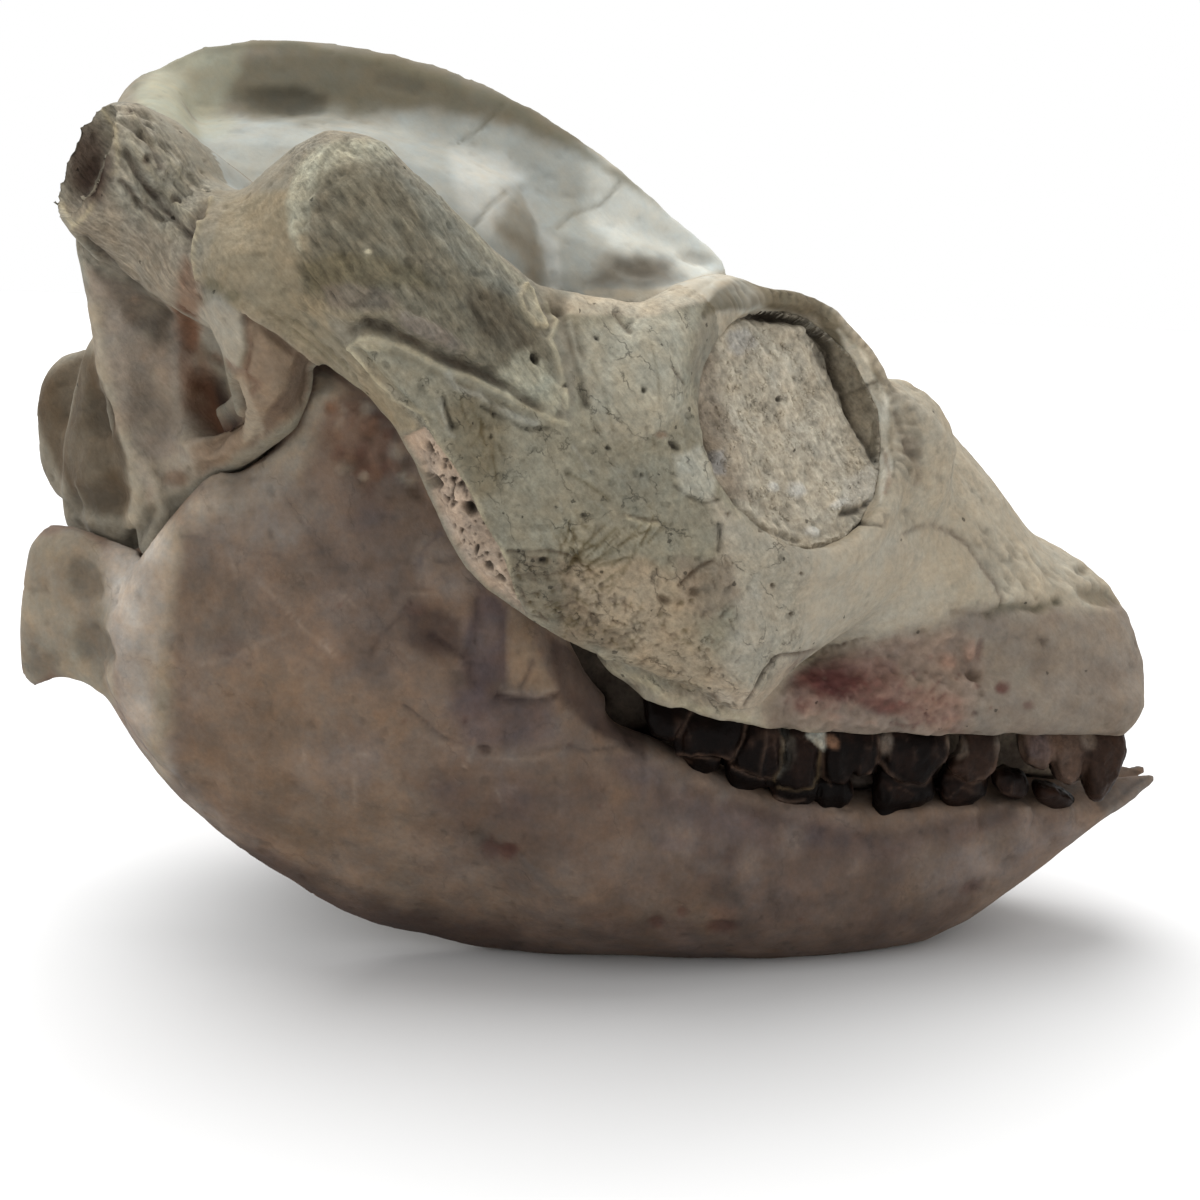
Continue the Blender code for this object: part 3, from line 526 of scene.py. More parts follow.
def scatterMarks(skin, outline, count, length, width, height, marks, strength, way=None, spread=0.4,
                 only=None, seed=1):
    # Short scratches along a way, or round specks where there is none, drawn at random inside an outline
    draw = random.Random(seed)
    outline = outlinePoints(outline)
    us, vs = [p[0] for p in outline], [p[1] for p in outline]
    for number in range(count):
        u, v = draw.uniform(min(us), max(us)), draw.uniform(min(vs), max(vs))
        size, turn, bend = draw.uniform(0.4, 1.0), draw.uniform(-spread, spread), draw.uniform(-0.5, 0.5)
        mark, share = marks[number % len(marks)], draw.uniform(0.5, 1.0)
        if not withinOutline(outline, u, v):
            continue
        if way is None:
            oval = (length * size, length * size * draw.uniform(0.5, 1.0))
            drawSpot(skin, (u, v), oval, draw.uniform(0, 180), height * share, mark, strength * share, only,
                     width, 0.5, seed + number)
            continue
        angle = math.atan2(way[1], way[0]) + turn
        line = [(u + length * size * (t - 0.5) * math.cos(angle + bend * t),
                 v + length * size * (t - 0.5) * math.sin(angle + bend * t)) for t in (0.0, 0.35, 0.7, 1.0)]
        drawLine(skin, line, width, height * share, mark, strength * share, only, 1.0, seed + number)


def easeGum(skin, gum, low, high, times=45):
    # Takes the marks of the plain teeth off the bone beside the tooth row
    points = skin["points"]
    rise = points[:, 2] - curveAt(toothRow[gum], points[:, 0])
    share = softStep(rise, low, low + 3) * (1 - softStep(rise, high, high + 1.2))
    share *= softStep(points[:, 0], -8, -4) * (1 - softStep(points[:, 0], 60, 64))
    for _ in range(times):
        points = points + (0.5 * share)[:, None] * (neighbourMean(points, skin["faces"]) - points)
    skin["points"] = points
    return measure(skin)


def settle(skin):
    # Moves the skin by the worked heights, and keeps it off the floor
    skin["points"] = skin["points"] + skin["normals"] * skin["height"][:, None]
    skin["points"][:, 2] = np.maximum(skin["points"][:, 2], 0.02)
    skin["height"][:] = 0
    return measure(skin)


# Tooth rows, as in the solids

toothRow = {
    "bite": [(-6.0, 32.0), (0.0, 29.6), (6.0, 27.4), (12.0, 25.7), (20.0, 24.4), (30.0, 23.8), (59.0, 23.0)],
    "side": [(-6.0, 26.0), (4.0, 25.0), (12.0, 24.0), (20.0, 22.4), (30.0, 19.5), (51.0, 13.4), (60.0, 10.4)],
    "upperGum": [(-6.0, 36.5), (5.0, 32.9), (12.0, 31.2), (20.0, 29.9), (30.0, 29.2), (51.0, 28.0),
                 (64.0, 27.0)],
    "lowerGum": [(-6.0, 32.0), (3.0, 29.2), (11.0, 24.8), (20.0, 21.6), (30.0, 20.2), (42.0, 20.2),
                 (57.0, 18.9)],
    "lowerInset": 1.4,
    "halfWidth": 3.3,
}


def loft(name, rings):
    count = len(rings[0])
    points = [p for ring in rings for p in ring]
    faces = [
        (r * count + i, r * count + (i + 1) % count, (r + 1) * count + (i + 1) % count, (r + 1) * count + i)
        for r in range(len(rings) - 1) for i in range(count)
    ]
    faces.append(tuple(range(count - 1, -1, -1)))
    faces.append(tuple(range(len(points) - count, len(points))))
    item = meshObject(name, points, faces)
    work = bmesh.new()
    work.from_mesh(item.data)
    bmesh.ops.recalc_face_normals(work, faces=work.faces)
    work.to_mesh(item.data)
    work.free()
    return item


def rowCutter(name, side, upper):
    # A strip along the tooth row that takes the plain teeth off a copied solid
    rings = []
    half = toothRow["halfWidth"]
    for x in np.arange(-2.0, 63.1 if upper else 57.1, 3.25):
        bite = curveAt(toothRow["bite"], x)
        low = bite - 3.5 if upper else curveAt(toothRow["lowerGum"], x)
        high = curveAt(toothRow["upperGum"], x) if upper else bite + 3.5
        y = curveAt(toothRow["side"], x) - (0 if upper else toothRow["lowerInset"])
        rings.append([(x, side * (y + s * half), z) for s, z in ((-1, low), (1, low), (1, high), (-1, high))])
    return loft(name, rings)


# Which bone a point of the fused skull belongs to, by the planes where the solids part
partingPlanes = {
    "ear": ((-48.5, 29.6, 82.6), (-0.5, 0.8, 0.33)),
    "earReach": 20.0,
    "earFront": -40.0,
    "archRoot": ((-37.2, 31.3, 77.0), (0.537, 0.844, 0.0)),
    "bar": ((5.3, 33.0, 75.5), (0.55, -0.75, 0.35)),
    "cheek": 18.3,
    "snout": -5.7,
    "archInside": 28.0,
}
bones = [
    ("braincaseBone", "braincase"), ("snoutBone", "snout"),
    ("cheekArchRight", "zygomatic_arch_right"), ("earTubeRight", "ear_tube_right"),
    ("cheekArchLeft", "zygomatic_arch_left"), ("earTubeLeft", "ear_tube_left"),
]
braincase, snout, arch, earTube = 0, 1, 2, 3


def boneOf(points):
    p = points.copy()
    p[:, 1] = np.abs(p[:, 1])
    earPlace, earWay = (np.array(v) for v in partingPlanes["ear"])
    rootPlace, rootWay = (np.array(v) for v in partingPlanes["archRoot"])
    barPlace, barWay = (np.array(v) for v in partingPlanes["bar"])
    label = np.where(p[:, 0] > partingPlanes["snout"], snout, braincase)
    inArch = ((p - rootPlace) @ rootWay > 0) & ((p - barPlace) @ barWay < 0)
    inArch &= (p[:, 0] < partingPlanes["cheek"]) & (p[:, 1] > partingPlanes["archInside"])
    inEar = ((p - earPlace) @ earWay > 0) & (np.linalg.norm(p - earPlace, axis=1) < partingPlanes["earReach"])
    inEar &= p[:, 0] < partingPlanes["earFront"]
    return np.where(inArch, arch, np.where(inEar, earTube, label))


# Materials

def addNode(tree, kind, values=(), links=(), **settings):
    node = tree.nodes.new(kind)
    for key, value in settings.items():
        setattr(node, key, value)
    for key, value in dict(values).items():
        node.inputs[key].default_value = value
    for key, source in dict(links).items():
        tree.links.new(source, node.inputs[key])
    return node


def combine(tree, operation, *values):
    # Arithmetic on sockets and numbers
    node = addNode(tree, "ShaderNodeMath", operation=operation)
    for place, value in enumerate(values):
        if isinstance(value, bpy.types.NodeSocket):
            tree.links.new(value, node.inputs[place])
        else:
            node.inputs[place].default_value = value
    return node.outputs[0]


def mapped(tree, source, low, high, toLow=0.0, toHigh=1.0):
    ends = {"From Min": low, "From Max": high, "To Min": toLow, "To Max": toHigh}
    return addNode(tree, "ShaderNodeMapRange", ends, {"Value": source}).outputs[0]


def noiseAt(tree, place, scale, detail=4.0, rough=0.6):
    values = {"Scale": scale, "Detail": detail, "Roughness": rough}
    return addNode(tree, "ShaderNodeTexNoise", values, {"Vector": place})


def startMaterial(name):
    made = bpy.data.materials.new(name)
    made.use_nodes = True
    tree = made.node_tree
    tree.nodes.clear()
    return made, tree


def boneMaterial(name, rough, specular, look):
    # Mineralised bone or rock. The detail attribute holds how strongly fibres, hairline cracks and pores
    # show, and the grain attribute the place in millimetres drawn out along the fibres.
    made, tree = startMaterial(name)
    grain = addNode(tree, "ShaderNodeAttribute", attribute_name="grain").outputs["Vector"]
    plain = addNode(tree, "ShaderNodeTexCoord").outputs["Object"]
    place = addNode(tree, "ShaderNodeVectorMath", {"Scale": 1000.0}, {0: plain}, operation="SCALE").outputs[0]
    paint = addNode(tree, "ShaderNodeAttribute", attribute_name="paint").outputs["Color"]
    detail = addNode(tree, "ShaderNodeAttribute", attribute_name="detail")
    shares = addNode(tree, "ShaderNodeSeparateColor", (), {0: detail.outputs["Color"]})
    fibre, craze, pore = shares.outputs[:3]
    rugged = detail.outputs["Alpha"]
    cloud = noiseAt(tree, place, 0.24, 6.0, 0.65)
    fine = noiseAt(tree, place, 1.3, 6.0, 0.72).outputs["Fac"]
    strand = noiseAt(tree, grain, look["strandScale"], 3.0, 0.55).outputs["Fac"]
    # Hairline cracks along wavy cell borders, broken up by a second pattern
    waves = noiseAt(tree, place, 0.5, 4.0).outputs["Color"]
    wander = addNode(tree, "ShaderNodeVectorMath", {1: (3.0, 3.0, 3.0)}, {0: waves},
                     operation="MULTIPLY").outputs[0]
    bent = addNode(tree, "ShaderNodeVectorMath", (), {0: grain, 1: wander}, operation="ADD").outputs[0]
    cell = addNode(tree, "ShaderNodeTexVoronoi", {"Scale": look["crackScale"]}, {"Vector": bent},
                   feature="DISTANCE_TO_EDGE")
    broken = mapped(tree, noiseAt(tree, place, 0.45, 3.0).outputs["Fac"], 0.42, 0.6)
    thin = mapped(tree, cell.outputs["Distance"], 0.0, look["crackWidth"], 1.0, 0.0)
    crack = combine(tree, "MULTIPLY", combine(tree, "MULTIPLY", thin, broken), craze)
    # Pores, only in some cells
    ripples = noiseAt(tree, place, 3.0, 2.0).outputs["Color"]
    ragged = addNode(tree, "ShaderNodeVectorMath", {1: (0.5, 0.5, 0.5)}, {0: ripples},
                     operation="MULTIPLY").outputs[0]
    uneven = addNode(tree, "ShaderNodeVectorMath", (), {0: place, 1: ragged}, operation="ADD").outputs[0]
    dots = addNode(tree, "ShaderNodeTexVoronoi", {"Scale": look["poreScale"]}, {"Vector": uneven})
    picked = addNode(tree, "ShaderNodeSeparateColor", (), {0: dots.outputs["Color"]})
    size = mapped(tree, picked.outputs[1], 0.0, 1.0, 0.04, 0.15)
    near = combine(tree, "SUBTRACT", size, dots.outputs["Distance"])
    here = mapped(tree, near, -0.03, 0.02)
    some = combine(tree, "LESS_THAN", picked.outputs[0], combine(tree, "MULTIPLY", pore, 0.45))
    hole = combine(tree, "MULTIPLY", here, some)
    shade = mapped(tree, cloud.outputs["Fac"], 0.3, 0.7, 1 - look["mottle"], 1 + look["mottle"])
    speckle = mapped(tree, fine, 0.3, 0.7, 1 - look["speckle"], 1 + look["speckle"])
    # Fibre streaks are lighter where the fibre relief stands up: partly the grain's own streaking, partly
    # painted highlight and shade.
    streak = combine(tree, "MULTIPLY", combine(tree, "SUBTRACT", strand, 0.5),
                     combine(tree, "MULTIPLY", fibre, 1.5))
    cloudy = combine(tree, "SUBTRACT", combine(tree, "MULTIPLY", shade, speckle), 1.0)
    cloudy = combine(tree, "MULTIPLY_ADD", cloudy, rugged, 1.0)
    total = combine(tree, "MULTIPLY", cloudy, combine(tree, "ADD", streak, 1.0))
    total = combine(tree, "MULTIPLY", total, combine(tree, "MULTIPLY_ADD", crack, -0.4, 1.0))
    # Pores are painted darker as well as sunk: painted shade.
    total = combine(tree, "MULTIPLY", total, combine(tree, "MULTIPLY_ADD", hole, -0.6, 1.0))
    warm = mapped(tree, noiseAt(tree, place, 0.5, 4.0).outputs["Fac"], 0.3, 0.7,
                  -look["warmth"], look["warmth"])
    hue = addNode(tree, "ShaderNodeCombineXYZ", {1: 1.0}, {
        0: combine(tree, "ADD", warm, 1.0), 2: combine(tree, "SUBTRACT", 1.0, warm)}).outputs[0]
    tinted = addNode(tree, "ShaderNodeVectorMath", (), {0: paint, 1: hue}, operation="MULTIPLY").outputs[0]
    colour = addNode(tree, "ShaderNodeVectorMath", (), {0: tinted, "Scale": total}, operation="SCALE")
    # Relief in millimetres
    relief = combine(tree, "MULTIPLY", combine(tree, "MULTIPLY", fine, rugged), look["grit"])
    threads = combine(tree, "MULTIPLY", combine(tree, "MULTIPLY", strand, fibre), 0.30)
    relief = combine(tree, "ADD", relief, threads)
    relief = combine(tree, "SUBTRACT", relief, combine(tree, "MULTIPLY", crack, 0.07))
    relief = combine(tree, "SUBTRACT", relief, combine(tree, "MULTIPLY", hole, 0.12))
    bump = addNode(tree, "ShaderNodeBump", {"Strength": 1.0, "Distance": mm}, {"Height": relief})
    gloss = mapped(tree, cloud.outputs["Fac"], 0.0, 1.0, rough - 0.1, rough + 0.1)
    shader = addNode(tree, "ShaderNodeBsdfPrincipled", {"Specular IOR Level": specular},
                     {"Base Color": colour.outputs[0], "Roughness": gloss, "Normal": bump.outputs[0]})
    addNode(tree, "ShaderNodeOutputMaterial", (), {"Surface": shader.outputs[0]})
    return made


# Sizes per millimetre, widths as shares of a cell, and the relief in millimetres
boneLook = {"strandScale": 2.6, "crackScale": 0.26, "crackWidth": 0.022, "poreScale": 0.6, "mottle": 0.08,
            "speckle": 0.2, "warmth": 0.04, "grit": 0.16}
jawLook = {
    **boneLook, "crackScale": 0.07, "crackWidth": 0.012, "poreScale": 0.4, "mottle": 0.20, "speckle": 0.15,
    "warmth": 0.07, "grit": 0.08,
}
rockLook = {**boneLook, "mottle": 0.10, "speckle": 0.30, "warmth": 0.03, "grit": 0.36}
toothLook = {**boneLook, "mottle": 0.3, "speckle": 0.3, "warmth": 0.08, "grit": 0.10}
looks = {
    "cranialBone": boneMaterial("cranialBone", 0.8, 0.15, boneLook),
    "jawBone": boneMaterial("jawBone", 0.72, 0.15, jawLook),
    "siltstone": boneMaterial("siltstone", 0.9, 0.08, rockLook),
    "toothEnamel": boneMaterial("toothEnamel", 0.45, 0.06, toothLook),
}


def grainPlace(points, way, stretch):
    # The place in millimetres, pressed together along the way that fibres run in the picture
    _, across, upward, _ = cameraAxes()
    along = across * way[0] - upward * way[1]
    along = along / np.linalg.norm(along)
    near = nearSide(points) + np.where(points[:, 1] > 0, 71.0, 0.0)[:, None]
    return near - np.outer(near @ along, along) * (1 - 1 / stretch)


def paintedObject(name, skin, used=slice(None), faces=None, way=(0.62, 0.78), stretch=5.0, cap=False):
    points = skin["points"][used]
    item = meshObject(name, points, skin["faces"] if faces is None else faces)
    for word in ("paint", "detail"):
        layer = item.data.color_attributes.new(word, "FLOAT_COLOR", "POINT")
        colours = np.ones((len(points), 4), np.float32)
        colours[:, :3] = skin[word][used]
        colours[:, 3] = skin["rough"][used]
        layer.data.foreach_set("color", colours.ravel())
    layer = item.data.attributes.new("grain", "FLOAT_VECTOR", "POINT")
    layer.data.foreach_set("vector", grainPlace(points, way, stretch).astype(np.float32).ravel())
    item.data.shade_smooth()
    if cap:
        closeEdges(item)
    return item


def closeEdges(item):
    # Fills the open rings where a bone is parted from its neighbours, behind a rim that turns 0.4 mm inwards
    work = bmesh.new()
    work.from_mesh(item.data)
    work.normal_update()
    rings = [e for e in work.edges if e.is_boundary]
    for edge in rings:
        edge.smooth = False
    inward = {v: v.normal.copy() for e in rings for v in e.verts}
    made = bmesh.ops.extrude_edge_only(work, edges=rings)["geom"]
    for vert in (item for item in made if isinstance(item, bmesh.types.BMVert)):
        old = next(e.other_vert(vert) for e in vert.link_edges if e.other_vert(vert) in inward)
        vert.co -= inward[old] * 0.4 * mm
    rings = [e for e in work.edges if e.is_boundary]
    bmesh.ops.holes_fill(work, edges=rings, sides=0)
    bmesh.ops.triangulate(work, faces=[f for f in work.faces if len(f.verts) > 3])
    bmesh.ops.recalc_face_normals(work, faces=work.faces)
    work.to_mesh(item.data)
    work.free()


def finishPiece(item, look, nodes=()):
    item.data.materials.clear()
    item.data.materials.append(looks[look])
    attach(item, "root")
    if nodes:
        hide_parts(*nodes)
    print(item.name, len(item.data.polygons))
    return item


# Skins

upperCuts = [rowCutter("upperCut", side, True) for side in (1, -1)]
lowerCuts = {side: rowCutter("lowerCut", side, False) for side in (1, -1)}
cranium = coveredSkin([node for _, node in bones], {"snout": upperCuts})
jaws = {
    side: coveredSkin([node], {node: [lowerCuts[side]]})
    for side, node in ((1, "mandible_left"), (-1, "mandible_right"))
}
for item in [*upperCuts, *lowerCuts.values()]:
    bpy.data.objects.remove(item, do_unlink=True)
for skin in jaws.values():
    easeGum(skin, "lowerGum", -9.0, 0.2)
easeGum(cranium, "upperGum", -1.4, 3.0, 30)
cranium["label"] = boneOf(cranium["points"])
solidPoints = np.concatenate([cranium["points"], jaws[-1]["points"]])
solidFaces = np.concatenate([cranium["faces"], jaws[-1]["faces"] + len(cranium["points"])])
hiding = BVHTree.FromPolygons(solidPoints.tolist(), solidFaces.tolist())
for skin in (cranium, *jaws.values()):
    findHidden(skin, hiding)
    measure(skin)
print("skins", len(cranium["faces"]), [len(j["faces"]) for j in jaws.values()])

# Finer faces where the picture shows the bone closely: arch, ear tube and the rim of the orbit

orbit = {
    "centre": (17.2, -31.1, 65.4), "forward": (0.864, 0.484, -0.132), "out": (0.489, -0.804, 0.339),
    "halfLength": 12.9, "halfHeight": 13.2,
}


def orbitPlace(points):
    # Forward, upward and outward of the orbit's centre, the first two as shares of its half size
    forward, out = (np.array(orbit[k]) / np.linalg.norm(orbit[k]) for k in ("forward", "out"))
    rise = np.cross(out, forward)
    away = nearSide(points) - np.array(orbit["centre"])
    return away @ forward / orbit["halfLength"], away @ rise / orbit["halfHeight"], away @ out


face = cranium["faces"]
corner = face[:, 0]
forward, rise, out = orbitPlace(cranium["points"][corner])
around = np.hypot(forward, rise)
rimZone = {"inner": 0.85, "outer": 1.25, "deepest": -3, "highest": 8}
onRim = (around > rimZone["inner"]) & (around < rimZone["outer"])
onRim = onRim & (out > rimZone["deepest"]) & (out < rimZone["highest"])
archOrTube = np.isin(cranium["label"][corner], (arch, earTube))
close = (cranium["seen"][face].min(axis=1) > 0.05) & (archOrTube | onRim)
cranium = refineNear(cranium, close)
print("refined", len(cranium["faces"]))

# Cranium: broad colours, as outlines in the picture with a soft edge in pixels, tone and strength

wallAreas = {
    "temporalWall": ("196,216 160,160 185,118 330,106 430,106 520,122 610,165 735,260 770,310 560,310 "
        "480,250 360,142 234,212", 18, "wall", 0.97),
    "wallAhead": ("578,150 620,172 740,250 760,300 690,276 630,258 588,222", 24, "wallAhead", 0.9),
    "crestShade": ("226,60 300,47 400,62 480,92 530,112 590,146 560,146 500,124 430,112 380,118 300,122 "
        "250,116 222,92", 22, "olive", 0.85),
    # The hollow under the crest is painted darker: painted shade.
    "crestDark": ("246,92 290,84 330,92 322,110 280,114 250,106", 14, "crest", 0.8),
    "nuchalSlope": ("118,108 160,56 204,45 244,48 232,92 214,122 176,150 150,140", 20, "slope", 0.9),
    # The bulge's lit side and its front rim are painted lighter than the wall: painted light.
    "bulgeLight": ("450,150 500,150 526,178 512,200 490,232 462,206", 18, "bulge", 0.8),
    # The bulge's side that turns from the light is painted brown: painted shade.
    "bulgeDark": ("512,188 534,206 544,250 546,294 524,290 510,250 498,220", 26, "brownShade", 0.72),
    "bulgeFront": ("545,225 556,240 562,290 552,298 547,260", 8, "bulge", 0.8),
    # The dark band in the hollow of the postorbital constriction is painted shade.
    "constriction": ("610,258 640,252 672,262 676,280 640,287 606,286 590,278", 24, "constriction", 0.8),
}
craniumAreas = {
    "mastoid": ("84,250 165,300 192,330 200,400 236,450 205,475 150,500 131,453 114,399 98,350", 12,
        "mastoid", 0.95),
    # A dark wedge below the ear tube's lower edge: painted shadow.
    "mastoidDark": ("86,244 112,262 160,304 172,340 150,352 118,300 92,276", 14, "mastoidDark", 0.8),
    "occiput": ("30,395 53,368 95,348 103,364 123,425 138,480 131,520 95,520 70,495 55,460", 10, "occiput",
        0.95),
    "rustBand": ("172,268 193,270 194,350 200,400 185,392 176,340", 9, "rustSeam", 0.8),
    "lowPale": ("150,462 176,452 206,462 204,476 168,500 150,520", 9, "ridge", 0.55),
}
earAreas = {
    "tubeAll": ("50,110 128,84 170,140 222,205 196,300 150,300 60,250", 8, "tubeRough", 0.9),
    "tubeLow": ("74,228 95,195 112,200 150,225 192,252 172,306 112,262", 9, "tubeLow", 0.9),
    "tubeBrow": ("104,100 128,94 150,118 166,150 150,150 130,128", 9, "tubeLow", 0.5),
}
archAreas = {
    "root": ("205,200 300,190 330,330 352,350 420,424 400,430 322,374 246,318 197,280", 12, "root", 0.9),
    "humpTop": ("286,200 296,165 320,146 360,138 400,150 380,160 330,172 316,200 310,230 290,236", 9,
        "humpTop", 0.9),
    "hump": ("306,240 318,190 340,168 380,158 404,166 450,214 490,262 540,330 560,380 556,410 470,372 "
        "410,336 355,326 300,290", 26, "hump", 0.95),
    "humpCool": ("398,176 430,190 480,244 520,290 500,300 462,268 428,226", 14, "humpCool", 0.75),
    "oliveBand": ("298,268 330,254 380,252 420,268 440,290 400,288 340,286 306,296", 16, "archOlive", 0.8),
    "pinkStep": ("318,288 350,284 392,290 400,306 366,312 330,308", 7, "pinkGrey", 0.75),
    # The hump's front side, turned from the light, is painted darker: painted shade.
    "humpDark": ("466,292 500,284 520,316 532,340 520,356 496,352 470,330", 18, "humpDark", 0.8),
    "humpLowPale": ("500,368 528,352 552,366 562,398 556,412 524,400 498,386", 14, "humpTop", 0.85),
    "lowHump": ("470,366 500,380 540,392 560,404 556,422 520,404 480,384", 8, "humpTop", 0.45),
    "jugal": ("352,346 405,348 440,362 500,392 572,424 580,330 560,306 640,316 700,306 690,369 708,460 "
        "742,512 790,545 800,640 740,715 655,690 600,655 540,630 512,580 487,528 460,471 430,430", 9,
        "jugal", 0.97),
    "jugalRear": ("448,384 500,404 510,440 504,490 482,500 462,468 446,440", 16, "jugalRear", 0.75),
    "jugalUpper": ("576,330 620,318 690,312 684,370 692,410 660,440 610,440 588,400", 18, "jugalPale", 0.9),
    "jugalCool": ("674,452 700,448 716,480 712,504 684,492", 8, "jugalCool", 0.8),
    "jugalDim": ("566,448 620,440 640,480 632,520 590,520 570,490", 14, "jugalRear", 0.12),
    "jugalFront": ("712,500 800,545 900,530 945,575 950,605 870,640 800,652 760,690 740,715 706,690 740,620 "
        "720,560", 20, "jugalFront", 0.9),
    "jugalLow": ("560,560 640,560 700,580 700,640 740,690 690,690 610,655 560,640", 18, "jugalLow", 0.75),
    "brownPatch": ("678,560 730,556 738,600 706,622 676,600", 16, "brownPatch", 0.8),
    "lowerStain": ("508,552 545,552 566,562 572,590 600,620 640,650 600,652 556,636 524,604", 9,
        "stainBrown", 0.5),
    "spongyFace": ("423,427 442,450 465,484 484,522 499,547 511,583 524,613 530,624 505,606 474,588 446,556 "
        "424,520 404,470 398,440", 3.5, "spongy", 0.95, -0.8),
    "lowerFlange": ("650,688 690,690 735,692 764,690 754,714 735,722 690,714", 6, "flange", 0.85),
    "barFloor": ("552,296 600,290 680,286 744,262 760,268 704,300 640,318 560,312", 6, "bar", 0.85),
}
snoutAreas = {
    "upperFace": ("740,262 820,280 900,330 1005,500 1110,575 1130,600 1050,606 1000,612 950,606 900,530 "
        "880,500 888,440 870,360", 12, "face", 0.9),
    "rimTop": ("700,318 716,280 760,270 812,286 838,318 880,380 888,440 884,470 872,440 850,380 816,320 "
        "760,306 716,312", 7, "rim", 0.85),
    "rimFront": ("838,330 868,356 886,400 890,470 880,500 874,440 856,376", 8, "rimFront", 0.85),
    "lowerFace": ("950,612 1050,608 1150,600 1150,760 1000,760 880,740 770,735 760,690 800,655 880,640", 22,
        "lowerFace", 0.92),
    "maroonPatch": ("790,692 805,670 845,657 895,660 910,684 960,700 962,732 900,716 860,705 800,712", 12,
        "maroonPale", 0.8),
    "rosyBelt": ("870,640 960,630 985,660 965,740 880,735 800,725 780,700 800,665", 20, "rosy", 0.6),
    "frontPale": ("1060,640 1120,612 1140,650 1136,700 1090,720 1050,700", 22, "lowerPale", 0.6),
}

# Lines: places, width in pixels, height in millimetres, tone, strength
wallLines = {
    "crestEdge": ("120,104 150,68 200,48 290,44 400,66 500,100 600,163 690,220 745,262", 5, 0.1, "crestEdge",
        0.75),
    "wallCrackA": ("503,105 485,125 458,142", 2.2, -0.15, "olive", 0.5),
    "wallCrackB": ("505,192 490,205 474,226", 2.2, -0.15, "olive", 0.5),
    "wallCrackC": ("620,183 602,205 572,215 557,228", 2.2, -0.15, "olive", 0.45),
    # The bulge's front crease is sunk and painted in the bulge's light tone: painted light.
    "bulgeCrease": ("526,190 540,220 549,262 552,296", 5, -0.5, "bulge", 0.3),
}
craniumLines = {
    # The mastoid ridge is raised and painted lighter where it faces the light from behind: a real ridge with
    # a painted highlight.
    "mastoidRidge": ("97,305 103,364 114,399 123,425 131,453 138,490 131,523", 6, 0.6, "ridge", 0.85),
    "mastoidLimb": ("139,452 156,480 160,504 178,530", 5, 0.4, "ridge", 0.6),
    # The slit is sunk and painted near-black: painted shade.
    "mastoidSlit": ("153,510 142,528 130,548", 5, -0.9, "pit", 0.6),
    "mastoidKnob": ("183,438 199,460 212,460", 5, 0.5, "ridge", 0.5),
    "rustSeam": ("184,262 189,300 189,345", 6, -0.4, "rustSeam", 0.7),
    "redFlow": ("196,340 204,362 206,392", 9, -0.3, "rust", 0.6),
    # The gap at the jaw joint is sunk and painted near-black: painted shade.
    "jointGap": ("316,372 343,385 368,398 390,414", 4.5, -0.8, "pit", 0.85),
}
earLines = {
    "mouthRimA": ("84,104 102,106 116,128 117,149 116,172 105,175", 3.2, 0.12, "tubeRim", 0.75),
    "mouthRimB": ("105,175 96,193 90,209 73,227 62,205", 3.2, 0.12, "tubeRim", 0.7),
    # The grooves along the tube are sunk and painted dark: painted shade.
    "grooveA": ("140,128 152,146 160,168", 3.0, -0.9, "tubeInside", 0.6),
    "grooveB": ("126,150 140,176 158,196", 3.0, -0.9, "tubeInside", 0.6),
    "grooveC": ("150,190 170,214 186,232", 3.5, -0.9, "tubeInside", 0.7),
    "grooveD": ("122,182 140,204 160,218", 2.6, -0.7, "tubeInside", 0.55),
    "ridgeA": ("132,116 148,138 168,164 186,186", 3.0, 0.6, "tubeRim", 0.3),
    "ridgeB": ("126,136 142,160 170,198 196,222", 3.0, 0.6, "tubeRim", 0.3),
    "rootCrest": ("212,200 200,222 194,243 194,262 197,278", 2.6, 0.45, "tubeRim", 0.75),
    # The groove at the tube's root is sunk and painted dark: painted shade.
    "rootGroove": ("206,204 190,226 186,248", 4.0, -0.7, "tubeInside", 0.55),
    "lowEdge": ("74,230 110,260 150,290 166,302", 3.0, 0.3, "tubeLow", 0.6),
    "underShade": ("82,244 112,270 150,304 166,322", 8.0, -1.0, "mastoidDark", 0.85),
}
